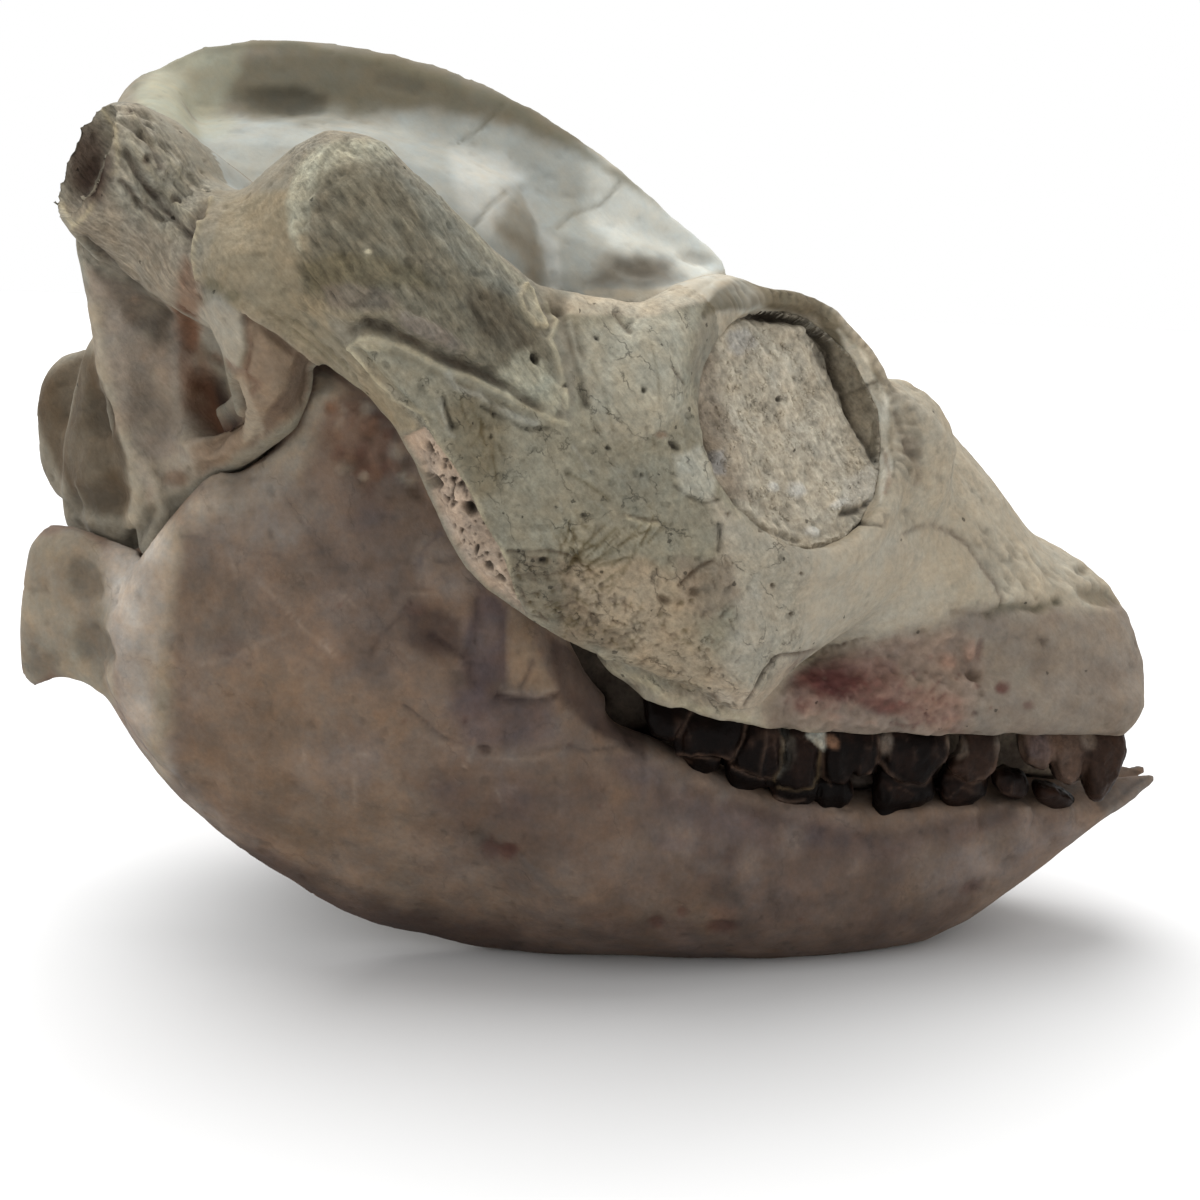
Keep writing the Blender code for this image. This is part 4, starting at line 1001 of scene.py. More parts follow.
archLines = {
    "humpStep": ("335,146 322,160 319,183 306,200 316,212 303,226", 2.2, -0.2, "hump", 0.5),
    "humpRim": ("300,172 335,146 365,140 400,150 450,204 490,254 530,290", 4, 0.15, "humpTop", 0.5),
    "lowHumpRim": ("300,250 292,230 296,200 306,176", 4, 0.1, "humpTop", 0.3),
    "smoothBand": ("280,298 320,308 350,316 395,312", 6, 0.3, "root", 0.55),
    # The groove under the swelling is sunk and painted dark: painted shade.
    "grooveHead": ("352,332 366,322 390,328", 5, -0.6, "groove", 0.5),
    "groove": ("366,325 395,334 430,352 470,368 506,388 538,408", 6.5, -1.0, "groove", 0.9),
    "jugalSuture": ("350,346 362,337 380,337 401,345 425,358 449,370 471,377 488,386 505,394 522,405 "
        "536,411 552,420 568,424", 3.2, 0.6, "cream", 0.75),
    # Painted shadow along the foot of the suture's raised edge.
    "sutureUnder": ("372,346 400,354 440,374 470,388 500,402 530,418", 3.0, -0.35, "jugalRear", 0.6),
    "flakeA": ("447,374 455,386 468,393 480,395", 4.0, 0.35, "flake", 0.6),
    "flakeB": ("484,398 500,408 518,418 536,424", 4.5, 0.35, "flake", 0.6),
    "flakeShade": ("482,406 504,418 524,428 548,428", 2.2, -0.4, "pit", 0.45),
    # The rising groove is sunk and painted dark: painted shade.
    "risingGroove": ("560,312 572,332 580,358 584,384 588,402", 6.0, -0.8, "humpDark", 0.8),
    "risingRidge": ("548,304 556,322 549,340 557,360 563,384 566,408", 3.0, 0.45, "cream", 0.6),
    "risingEdge": ("569,322 579,350 588,384 594,412", 2.6, 0.3, "jugalPale", 0.7),
    "splintA": ("524,286 519,296 524,312 536,324 545,327", 2.6, 0.4, "cream", 0.7),
    "splintB": ("524,286 532,292 536,306 543,318 546,326", 2.6, 0.4, "cream", 0.7),
    "splintFace": ("527,294 532,308 541,321", 4.0, 0.2, "humpTop", 0.6),
    "lowerBorder": ("350,347 373,376 396,399 423,414 442,450 454,465 465,484 475,499 484,522 490,534 "
        "499,547 508,560 511,583 516,598", 2.4, 0.3, "cream", 0.75),
    "lowerBorderShade": ("360,350 382,376 404,398 430,420", 2.4, -0.25, "jugalRear", 0.6),
    "bandStreakA": ("288,318 318,342 346,368", 2.2, -0.25, "archOlive", 0.5),
    "bandStreakB": ("268,312 300,336 330,362", 2.0, -0.2, "archOlive", 0.4),
    "bandStreakC": ("300,312 336,340 366,372 390,396", 2.0, -0.2, "hump", 0.4),
    # The slit is sunk and painted near-black: painted shade.
    "slit": ("443,398 446,410 449,420 452,429", 2.0, -0.8, "pit", 0.8),
    "slitLip": ("440,400 443,414 449,434 454,437", 1.8, 0.3, "flake", 0.6),
    "stainEdge": ("508,552 545,551 568,556 582,566", 2.0, -0.25, "stain", 0.7),
    "stainCrack": ("512,578 528,574 548,577", 1.8, -0.3, "stain", 0.7),
    "scratchA": ("573,540 595,547 617,527", 1.8, -0.12, "archOlive", 0.7),
    "scratchB": ("565,562 595,562 628,540 645,521", 1.8, -0.12, "archOlive", 0.7),
    "scratchC": ("560,530 575,556 600,566 630,556", 1.6, -0.1, "archOlive", 0.6),
    "scratchD": ("600,584 622,570 646,542 658,522", 1.6, -0.1, "archOlive", 0.6),
    "scratchE": ("567,474 590,486 608,500", 1.8, -0.2, "archOlive", 0.6),
    "scratchF": ("574,446 584,462 592,472", 1.8, -0.2, "flake", 0.5),
    "scratchG": ("576,512 582,524 590,530", 1.6, -0.1, "archOlive", 0.5),
    "notch": ("625,514 640,518 658,521", 1.8, -0.3, "stain", 0.7),
    "notchLip": ("627,517 642,522 659,524", 1.6, 0.25, "cream", 0.6),
    # The crack and the slit on the jugal are sunk and painted near-black: painted shade.
    "barCrack": ("675,486 690,497 703,503 719,499", 1.8, -0.4, "pit", 0.7),
    "jugalSlit": ("719,525 721,536 719,551", 2.2, -0.8, "pit", 0.85),
    "jugalCrack": ("679,586 699,568 714,560", 1.8, -0.3, "stain", 0.8),
    "topScratch": ("614,314 622,324 630,332", 2.2, -0.35, "stain", 0.6),
    "longScratchA": ("590,360 606,396 612,430", 1.6, -0.08, "archOlive", 0.4),
    "longScratchB": ("650,340 658,370 660,400", 1.4, -0.08, "archOlive", 0.4),
    "longScratchC": ("672,366 680,378 684,384", 1.6, -0.2, "stain", 0.6),
    "edgeFray": ("600,655 622,668 645,682 660,690 700,702", 2.2, 0.2, "creamDim", 0.6),
    "frontSuture": ("744,706 757,688 766,669 779,656 799,654 842,645 868,637", 1.9, -0.35, "lowerShade",
        0.8),
    # The slit is sunk and painted near-black: painted shade.
    "frontSlit": ("757,688 766,669 778,657", 1.7, -0.6, "pit", 0.6),
    "frontFacet": ("762,700 778,680 790,664", 7, 0.15, "flange", 0.7),
}
snoutLines = {
    "browLine": ("690,296 716,278 741,272 775,276 806,292", 2.2, -0.2, "rimDark", 0.6),
    "rimCrack": ("852,392 862,387 877,381", 1.6, -0.3, "rimDark", 0.6),
    "tearLine": ("896,412 903,433 914,457 920,470 916,484", 3.0, -0.3, "lowerShade", 0.45),
    "lacrimalSuture": ("903,535 918,527 935,522", 2.2, -0.2, "lowerShade", 0.5),
    "nasalSuture": ("935,526 953,533 970,546 983,568 996,585 1003,605", 2.4, -0.35, "lowerShade", 0.65),
    "jugalFrontSuture": ("905,542 922,557 942,570 948,585 952,607", 2.2, 0.2, "bar", 0.45),
    "crossSuture": ("952,611 975,615 992,616", 2.4, -0.3, "lowerShade", 0.55),
    "darkSeam": ("988,616 1003,608 1020,605 1037,609 1058,601", 5.0, -0.6, "seam", 0.75),
    "nasalEdge": ("894,394 931,418 970,470 1000,502", 5.0, 0.35, "bar", 0.5),
    "faceShade": ("900,340 950,400 985,450 1000,480", 8.0, 0.0, "faceDim", 0.6),
    # The crack is sunk and painted near-black: painted shade.
    "orbitCrack": ("845,531 858,523 881,526", 1.8, -0.4, "pit", 0.6),
    "rimRust": ("884,455 889,475 884,492", 3.0, 0.0, "rust", 0.6),
    "frontEdge": ("1112,600 1135,622 1141,660 1136,710", 4.0, 0.2, "lowerPale", 0.5),
    "toothEdge": ("790,722 830,722 900,724 960,728 1040,732 1110,732", 6.0, 0.1, "lowerPale", 0.35),
}

# Plate behind the jaw joint, below the root of the arch
plateAreas = {
    "plateBone": ("243,318 285,342 322,371 312,398 290,420 240,455 200,478 190,452 214,420 236,374 246,351",
        7, "plateBone", 0.95, -0.5),
    "plateShade": ("302,356 322,372 308,404 268,440 244,452 266,420 288,390", 9, "plateShade", 0.75, -0.2),
    "palePatch": ("195,312 214,300 240,316 244,350 236,374 212,356 197,336", 7, "palePatch", 0.9),
    "paleStrand": ("224,384 240,380 256,420 262,440 244,446 236,420", 7, "ridge", 0.6),
    "rustUpper": ("184,256 192,264 198,290 199,330 194,350 182,345 174,306", 13, "rust", 0.7, -0.2),
}
plateLines = {
    "holeEdge": ("214,356 236,372 257,390 250,396", 4, -0.5, "pinkDark", 0.7),
    "patchEdge": ("244,316 248,346 244,372", 3, -0.4, "pinkDark", 0.6),
    "plateCrease": ("243,320 284,345 318,370", 3.4, -0.55, "plateShade", 0.7),
    "rearBorder": ("244,313 284,337 322,369", 2.6, 0.4, "ridge", 0.6),
}

# Spots: centre, half lengths in pixels, turn in degrees, height in millimetres, tone, strength
wallSpots = {
    # The pit under the crest is sunk and painted darker: painted shade.
    "crestPit": ((284, 101), (34, 11), 6, -0.4, "crest", 0.5),
    "crestMark": ((400, 84), (30, 8), 12, -0.1, "crest", 0.5),
    # Darker marks in the constriction's hollow: painted shade.
    "constrictionDark": ((640, 268), (22, 9), 0, -0.5, "constriction", 0.4),
    "constrictionMark": ((696, 258), (16, 6), 12, -0.3, "constriction", 0.35),
    "wallMark": ((215, 128), (22, 12), -20, 0.0, "slope", 0.5),
}
craniumSpots = {
    "redHole": ((212, 410), (22, 34), -10, -2.4, "redHole", 0.97),
    "redStain": ((196, 398), (14, 30), -10, -0.3, "rust", 0.6),
    "paleGrain": ((158, 374), (9, 9), 0, 0.2, "ridge", 0.5),
    "mastoidGrey": ((150, 410), (22, 40), -12, -0.3, "mastoidCool", 0.6),
    "occiputPitA": ((100, 414), (12, 20), -15, -0.9, "occiputDark", 0.7),
    "occiputPitB": ((95, 500), (26, 14), -10, -1.0, "occiputDark", 0.8),
    "occiputGrey": ((66, 400), (14, 26), 10, -0.3, "occiputDark", 0.3),
    "lowStain": ((176, 478), (12, 8), 0, -0.2, "rust", 0.5),
}
earSpots = {
    # The tube's mouth and its pits are painted dark inside, the middle in a reddish dark: painted shade.
    "mouth": ((88, 164), (24, 44), 0, -0.2, "tubeInside", 0.95),
    "mouthDark": ((92, 180), (12, 18), 0, -0.2, "redHole", 0.7),
    "mouthLow": ((76, 206), (10, 14), 20, 0.0, "tubeLow", 0.5),
    "pitA": ((132, 112), (4, 3), 30, -0.5, "tubeInside", 0.7),
    "pitB": ((146, 160), (4, 5), 30, -0.6, "tubeInside", 0.7),
    "pitC": ((176, 200), (5, 4), 30, -0.6, "tubeInside", 0.7),
    "specksA": ((212, 286), (12, 7), 20, -0.3, "archOlive", 0.6),
    "specksB": ((232, 296), (8, 6), 20, -0.3, "archOlive", 0.6),
}
archSpots = {
    "swelling": ((428, 331), (36, 9), 27, 0.8, "swelling", 0.85),
    # The break in the crest, the pores, the gouge and the spongy pits are sunk and painted dark or
    # near-black: painted shade.
    "crestBreak": ((556, 306), (12, 10), -25, -0.6, "humpDark", 0.6),
    "rootLight": ((372, 344), (16, 7), 10, 0.3, "cream", 0.5),
    "humpPaleA": ((368, 252), (4, 2.4), 0, 0.25, "cream", 0.7),
    "poreA": ((535, 358), (3.5, 6), -20, -0.8, "pit", 0.9),
    "poreB": ((565, 386), (2.5, 2.5), 0, -0.4, "pit", 0.8),
    "poreC": ((644, 390), (2.2, 3.2), 0, -0.4, "pit", 0.9),
    "poreD": ((608, 448), (2.2, 2.2), 0, -0.4, "pit", 0.9),
    "poreE": ((597, 338), (2, 2), 0, -0.3, "pit", 0.8),
    "poreF": ((584, 516), (3.5, 2.5), 30, -0.4, "pit", 0.8),
    "poreG": ((543, 561), (5, 3), 0, -0.5, "pit", 0.85),
    "poreH": ((494, 415), (2, 2), 0, -0.3, "pit", 0.8),
    "poreI": ((491, 437), (2, 2.4), 0, -0.3, "pit", 0.8),
    "poreJ": ((642, 475), (2, 2), 0, -0.3, "pit", 0.7),
    "gouge": ((675, 446), (6, 3), 40, -0.6, "pit", 0.8),
    "rustSpeck": ((661, 435), (6, 4), 0, 0.05, "rust", 0.5),
    "spongyPitA": ((429, 486), (7, 5), 25, -1.3, "pit", 0.85),
    "spongyPitB": ((468, 513), (8, 5), 25, -1.3, "pit", 0.85),
    "spongyPitC": ((448, 484), (3, 3), 0, -0.7, "pit", 0.85),
    "spongyPitD": ((459, 488), (4, 3), 0, -0.7, "pit", 0.85),
    "spongyPitE": ((473, 555), (2.5, 5), 20, -0.7, "pit", 0.85),
    "spongyPitF": ((448, 501), (3, 3), 0, -0.6, "pit", 0.8),
    "spongyPitG": ((441, 503), (3, 3), 0, -0.7, "pit", 0.8),
    "spongyPitH": ((424, 452), (4, 5), 0, -0.9, "pit", 0.8),
    "spongyPitI": ((486, 572), (5, 4), 30, -0.8, "pit", 0.8),
    "spongyPitJ": ((500, 584), (4, 3), 30, -0.7, "pit", 0.8),
    "lowPitA": ((664, 600), (7, 4), 30, -0.4, "stain", 0.7),
    "lowPitB": ((694, 592), (6, 4), 30, -0.3, "stain", 0.6),
    "dirtA": ((712, 697), (7, 3), 20, -0.2, "stain", 0.5),
    "dirtB": ((724, 706), (5, 3), 0, -0.3, "stain", 0.6),
    "facePoreA": ((728, 514), (2, 2), 0, -0.3, "stain", 0.7),
    "facePoreB": ((761, 530), (2.4, 2), 0, -0.3, "stain", 0.7),
    "facePoreC": ((773, 586), (2, 2), 0, -0.3, "stain", 0.7),
    "facePoreD": ((802, 574), (2, 2), 0, -0.3, "stain", 0.7),
    "facePoreE": ((792, 614), (2, 2), 0, -0.3, "stain", 0.7),
}
snoutSpots = {
    "tearPit": ((914, 447), (8, 13), -15, -0.5, "lowerShade", 0.45),
    "rimDip": ((815, 312), (12, 6), 30, -0.3, "rimDark", 0.6),
    "nasalHollow": ((1102, 597), (22, 9), 10, -0.8, "rimDark", 0.6),
    "nasalDint": ((1083, 570), (7, 4), 0, -0.4, "rimDark", 0.4),
    "maroonCore": ((834, 680), (42, 15), 8, -0.5, "maroon", 0.85),
    "maroonLow": ((884, 706), (22, 8), 8, -0.3, "maroon", 0.6),
    "pustuleA": ((946, 661), (9, 8), 0, 0.5, "pustule", 0.7),
    "pustuleB": ((969, 650), (6, 11), 10, 0.5, "pustule", 0.7),
    "pustuleShade": ((979, 650), (4, 11), 10, -0.2, "maroon", 0.5),
    "foramen": ((973, 675), (7, 6), 0, -0.8, "lowerShade", 0.8),
    "redSpotA": ((1003, 687), (7, 6), -20, -0.3, "maroon", 0.8),
    "redSpotB": ((1029, 705), (5, 4), 0, -0.2, "maroon", 0.6),
    "frontForamen": ((1042, 641), (5, 4), 0, -0.6, "lowerShade", 0.7),
}

skull = np.ones(len(cranium["points"]), bool)
for key, tone in ((braincase, "backBone"), (snout, "face"), (arch, "jugalBack"), (earTube, "tubeRough")):
    mixPaint(cranium, cranium["label"] == key, tone, skull[cranium["label"] == key])
drawAll(cranium, wallAreas, wallLines, wallSpots, only=(braincase, snout))
drawAll(cranium, craniumAreas, craniumLines, craniumSpots, only=(braincase, earTube))
drawAll(cranium, snoutAreas, snoutLines, snoutSpots, only=(snout, arch))
drawAll(cranium, archAreas, archLines, archSpots, only=(arch, snout))
drawAll(cranium, earAreas, earLines, earSpots, only=(earTube, braincase, arch))
drawAll(cranium, plateAreas, plateLines, only=(braincase, arch, earTube))

drawAll(cranium, spots={key: craniumSpots[key] for key in ("redHole", "redStain")}, only=(arch,))

# Marks scattered inside an outline: count, length or radius and width in pixels, height, tones, strength, way
scattered = {
    # The spongy pits are sunk and painted in stain and near-black: real stain and painted shade.
    "spongePits": ("423,430 444,456 466,490 490,538 508,580 516,598 492,590 450,550 420,505 404,470", 260,
        2.4, 0.5, -0.45, ("pit", "stain"), 0.85),
    "stainCrackle": ("512,556 560,556 600,566 640,600 664,640 620,652 560,636 524,606", 170, 13, 1.3, -0.18,
        ("stain", "scratch"), 0.75, (0.7, 0.7), 1.5),
    "stainSpecks": ("512,556 570,556 640,590 700,600 720,660 640,660 560,636 524,606", 150, 3.2, 0.6, -0.22,
        ("stain", "scratch", "brownPatch"), 0.6),
    "fan": ("566,530 600,536 650,520 664,534 636,572 600,590 572,576", 36, 40, 1.2, -0.12, ("scratch",),
        0.75, (0.72, -0.66), 0.35),
    "fanRear": ("536,528 580,528 584,558 546,556", 22, 22, 1.2, -0.1, ("scratch",), 0.7, (0.4, 0.9), 0.5),
    "rearStreaks": ("456,404 500,410 504,470 470,462", 40, 34, 1.3, -0.08, ("scratch", "jugalRear"), 0.6,
        (0.15, 1.0), 0.25),
    "jugalScratches": ("560,430 700,380 690,500 560,520", 40, 24, 1.0, -0.06, ("flake", "scratch"), 0.4,
        (0.7, 0.7), 0.9),
    "lowCrackle": ("640,560 740,560 740,700 680,690 620,660", 90, 11, 1.2, -0.14, ("stain",), 0.55, (0.8,
        0.6), 1.5),
    # The chips along the edge are sunk and painted in stain and near-black: real stain and painted shade.
    "edgeChips": ("530,622 600,655 660,684 740,706 744,720 660,700 600,672 536,640", 60, 5, 1.3, -0.25,
        ("stain", "pit"), 0.7, (0.9, 0.4), 1.2),
    "maroonVeins": ("790,692 806,664 850,652 910,668 964,700 960,740 900,728 800,716", 110, 15, 1.5, -0.16,
        ("maroon", "maroonPale", "pustule"), 0.55, (1.0, 0.2), 1.6),
    "maroonSpecks": ("780,690 806,650 870,640 980,660 1010,720 900,736 790,722", 90, 3.5, 0.6, -0.2,
        ("maroon", "lowerShade"), 0.55),
    "snoutMottle": ("960,620 1140,610 1140,740 980,740", 60, 16, 0.9, 0.05, ("lowerPale", "lowerShade"),
        0.22),
    "mastoidMottle": ("96,260 170,300 200,400 236,450 150,500 114,400", 70, 12, 0.9, 0.1, ("mastoidDark",
        "pinkBone", "ridge"), 0.3),
}
thinning = 1
for number, (outline, count, *mark) in enumerate(scattered.values()):
    scatterMarks(cranium, outline, count // thinning, *mark, seed=900 + 1000 * number)
creamEdge = "527,621 537,637 561,649 601,669 649,681 665,697 702,710 746,718"
drawLine(cranium, creamEdge, 4.5, 0.15, "cream", 0.75, (arch, snout), seed=29)

# How strongly fibres, hairline cracks, pores and grit show: outline, soft edge, the four shares
textureAreas = {
    "wall": ("80,30 745,30 770,310 560,310 480,250 360,140 200,220 170,140 120,100", 20, (0.05, 0.0, 0.0,
        0.2), (braincase, snout)),
    "rear": ("60,240 330,300 320,520 30,520 30,330", 10, (0.25, 0.1, 0.1, 0.7), (braincase, arch)),
    "tube": ("50,84 130,84 220,200 200,300 50,250", 10, (1.0, 0.2, 0.5, 1.2), (earTube, arch)),
    "root": ("200,200 310,190 420,424 320,372 246,318 197,280", 12, (0.4, 0.3, 0.3, 0.9), (arch,)),
    "hump": ("286,130 404,130 540,290 566,420 440,350 300,310", 12, (0.9, 0.3, 0.3, 1.2), (arch,)),
    "jugal": ("352,346 572,424 580,300 700,300 690,369 742,512 800,545 800,640 740,715 655,700 510,600 "
        "460,471", 12, (0.45, 1.2, 0.8, 1.2), (arch, snout)),
    "spongy": ("423,427 442,450 465,484 499,547 535,634 474,588 424,520 400,460", 5, (0.2, 0.2, 1.6, 1.6),
        (arch,)),
    "stain": ("508,552 566,560 640,650 600,660 524,604", 9, (0.3, 1.4, 1.8, 1.6), (arch, snout)),
    "snout": ("800,540 900,520 1005,500 1130,600 1150,740 780,730 760,690", 20, (0.15, 0.1, 0.3, 0.7),
        (snout,)),
}
cranium["detail"][:] = (0.15, 0.15, 0.15)
for outline, soft, shares, only in textureAreas.values():
    share = areaShare(cranium, outline, soft, only)
    cranium["detail"] += share[:, None] * (np.array(shares[:3]) - cranium["detail"])
    cranium["rough"] += share * (shares[3] - cranium["rough"])

# Cranium: relief that covers whole areas

# Fibres: outline, direction (right, down), grain, stretch, height and bones
fibreAreas = {
    "humpFibres": ("318,185 400,180 480,270 540,320 570,400 500,380 420,320 300,300 290,240", (0.62, 0.78),
        0.55, 4.5, 0.26, (arch,)),
    "humpTop": ("300,175 345,140 410,150 480,235 400,200 330,190", (0.4, -0.9), 0.5, 4, 0.1, (arch,)),
    "rootFibres": ("200,210 300,200 310,300 370,375 340,375 240,310 200,270", (0.7, 0.72), 0.5, 4, 0.06,
        (arch,)),
    "jugalGrain": ("480,400 600,330 700,330 720,520 640,660 540,640 480,510", (0.55, 0.83), 0.6, 3, 0.07,
        (arch, snout)),
    "tubeFibres": ("112,104 150,105 178,158 215,200 200,245 184,250 150,222 118,200", (0.72, 0.69), 0.75,
        3.5, 0.55, (earTube, braincase)),
    "tubeSmooth": ("74,228 112,200 185,252 165,300 110,258", (0.85, 0.5), 0.7, 4, 0.12, (earTube,
        braincase)),
    "nasalFibres": ("985,520 1060,562 1110,580 1060,603 1005,605 970,545", (0.8, 0.5), 0.8, 3.5, 0.28,
        (snout,)),
    "faceFibres": ("880,400 1000,505 980,560 900,530 890,450", (0.6, 0.8), 1.2, 3, 0.08, (snout,)),
    "beltGrain": ("790,650 960,625 990,700 960,740 800,735 770,710", (1, 0), 0.8, 1.2, 0.24, (snout,)),
    "spongeGrain": ("412,425 442,450 499,547 530,630 480,580 412,490", (0.5, 0.8), 0.7, 1.3, 0.22, (arch,)),
}


def addFibres(skin, table):
    for number, (outline, way, grain, stretch, height, only) in enumerate(table.values()):
        share = areaShare(skin, outline, 14, only, seed=number + 201)
        index = np.nonzero(share > 0)[0]
        points = skin["points"][index]
        fibres = fibreNoise(points, way, grain, stretch, number + 301)
        fibres += 0.5 * fibreNoise(points, way, grain / 2, stretch, number + 321)
        # None where the surface turns away, so that edges stay clean
        square = softStep(skin["facing"][index], 0.1, 0.5)
        skin["height"][index] += height * share[index] * fibres * square
        # The colour follows the fibres, lighter on the raised ones and darker between: painted highlight and
        # shade.
        skin["paint"][index] *= (1 + 0.22 * min(1, height / 0.25) * share[index] * fibres)[:, None]


def orbitRibs(skin):
    # The brow and front rim carry short ribs across the edge
    ahead, up, outward = orbitPlace(skin["points"])
    reach, turn = np.hypot(ahead, up), np.arctan2(up, ahead)
    share = softStep(reach, 0.98, 1.04) * (1 - softStep(reach, 1.2, 1.34)) * softStep(turn, -0.5, -0.1)
    share *= (1 - softStep(turn, 2.1, 2.5)) * softStep(outward, -3, -1) * (skin["label"] != braincase)
    wander = layeredNoise(skin["points"], 2.5, 77, 2)
    ribs = np.sin(turn * 78 + wander * 3) * (0.6 + 0.6 * grainNoise(skin["points"], 1.6, 78))
    skin["height"] += share * 0.16 * ribs * softStep(skin["facing"], 0.15, 0.6)
    # The ribs are painted lighter on their crests and darker between: painted highlight and shade.
    skin["paint"] *= (1 + 0.22 * share * ribs)[:, None]
    mixPaint(skin, slice(None), "rimDark", 0.45 * share * softStep(wander, -0.4, 0.5))


def weather(skin, seed, amount=1.0):
    # Uneven growth, fine grain and small pits all over. The colour follows this relief, darker in the hollows
    # and pits and lighter on the rises: painted shade and highlight.
    points = skin["points"]
    broad = layeredNoise(points, 9.0, seed, 3)
    middle = layeredNoise(points, 2.2, seed + 5, 3)
    fine = grainNoise(points, 0.7, seed + 9)
    pits = softStep(grainNoise(points, 1.1, seed + 12), 0.62, 0.85)
    amount = amount * (0.25 + 0.75 * np.minimum(skin["rough"], 1))
    skin["height"] += amount * (0.16 * broad + 0.07 * middle + 0.025 * fine - 0.16 * pits)
    reliefShading = 1 + amount * (0.10 * broad + 0.09 * middle + 0.05 * fine - 0.22 * pits)
    skin["paint"] *= reliefShading[:, None]
    warm = layeredNoise(points, 6.0, seed + 20, 3)[:, None]
    skin["paint"] *= 1 + warm * np.array([0.05, 0.0, -0.06])


addFibres(cranium, fibreAreas)
orbitRibs(cranium)
weather(cranium, 400)
settle(cranium)

for key, (name, node) in enumerate(bones):
    label, left = (key, None) if key < 2 else (2 + key % 2, key > 3)
    face = cranium["faces"]
    own = cranium["label"][face].max(axis=1) == label
    if left is not None:
        own &= (cranium["points"][face[:, 0], 1] > 0) == left
    used, kept = keepFaces(cranium["points"], face, own)
    item = paintedObject(name, cranium, used, kept, cap=True)
    finishPiece(item, "cranialBone", [node])

# Matrix left in the orbits: rough siltstone, with a shadowed groove along the top and front of the rim

matrixAreas = {
    # The fill's rear edge under the jugal's rim is painted darker in the warm rock tone: the rock's warm
    # colour with painted shade.
    "rearBrown": ("692,330 712,330 716,380 724,440 748,500 730,502 704,460 686,390", 16, "rockWarm", 0.7),
    # The inner front wall of the orbit is painted dark: painted shade.
    "innerWall": ("812,316 827,340 845,394 858,424 876,456 890,466 904,420 884,360 842,318", 4, "innerWall",
        0.95),
    "frontGrey": ("846,480 876,464 882,498 852,508 838,500", 9, "rockPale", 0.6),
    "warmRear": ("698,396 722,400 744,440 752,490 728,490 706,450", 12, "rockWarm", 0.55),
    # The upper rear edge is painted darker in the warm rock tone: the rock's warm colour with painted shade.
    "darkRear": ("700,318 726,316 712,340 704,380 690,380 688,350", 10, "rockWarm", 0.7),
    "blueTop": ("730,330 750,326 760,345 742,358 728,350", 8, "rockBlue", 0.45),
    "blueLow": ("704,452 722,452 728,474 712,474", 6, "rockBlue", 0.45),
}
matrixLines = {
    # The troughs under the top and front rim and the gaps at their foot are sunk and painted dark: painted
    # shade.
    "topTrough": ("716,316 745,312 770,314 800,318 818,326", 9, -0.7, "innerWall", 0.5),
    "topGap": ("724,312 745,310 766,312 800,318 815,322", 4.5, -0.6, "gap", 0.9),
    "wallTrough": ("813,322 832,362 848,394 861,419 877,451 886,464", 14, -0.8, "innerWall", 0.5),
    "wallFoot": ("813,318 827,335 836,362 847,394 861,425 878,458", 3.2, -0.6, "gap", 0.8),
    "wallBranch": ("848,394 862,388 876,382", 1.6, -0.25, "gap", 0.35),
    "lowCrack": ("842,514 858,510 876,500 882,488", 3.4, -1.0, "rockDark", 0.8),
    "rearShade": ("706,314 694,343 689,372 691,396 700,430 708,460", 5, -1.0, "gap", 0.6),
    "lowShade": ("722,492 741,512 767,530 799,541", 3, -0.6, "rockDark", 0.35),
}
matrixSpots = {
    "speckA": ((797, 490), (8, 8), 10, 0.3, "rockPale", 0.9),
    "speckB": ((774, 487), (6, 5), 10, 0.3, "rockPale", 0.85),
    "speckC": ((813, 532), (8, 5), 10, 0.3, "rockPale", 0.85),
    "speckD": ((838, 504), (10, 4), -20, 0.2, "rockPale", 0.8),
    # Dark spots at the rear, under the top rim and on the front wall: painted shade.
    "darkBack": ((697, 355), (8, 12), 10, -0.9, "gap", 0.9),
    "topDark": ((766, 314), (22, 6), 6, -0.3, "gap", 0.9),
    "frontTopDark": ((828, 352), (9, 28), -22, -0.3, "gap", 0.6),
    "holeB": ((780, 398), (2.6, 2.6), 0, -0.5, "rockDark", 0.8),
    "nodule": ((802, 328), (7, 5), 0, 0.7, "rock", 0.6),
}
crumb = {"perSquareMetre": 5.5e6, "smallest": 0.10, "largest": 0.34, "seed": 7}


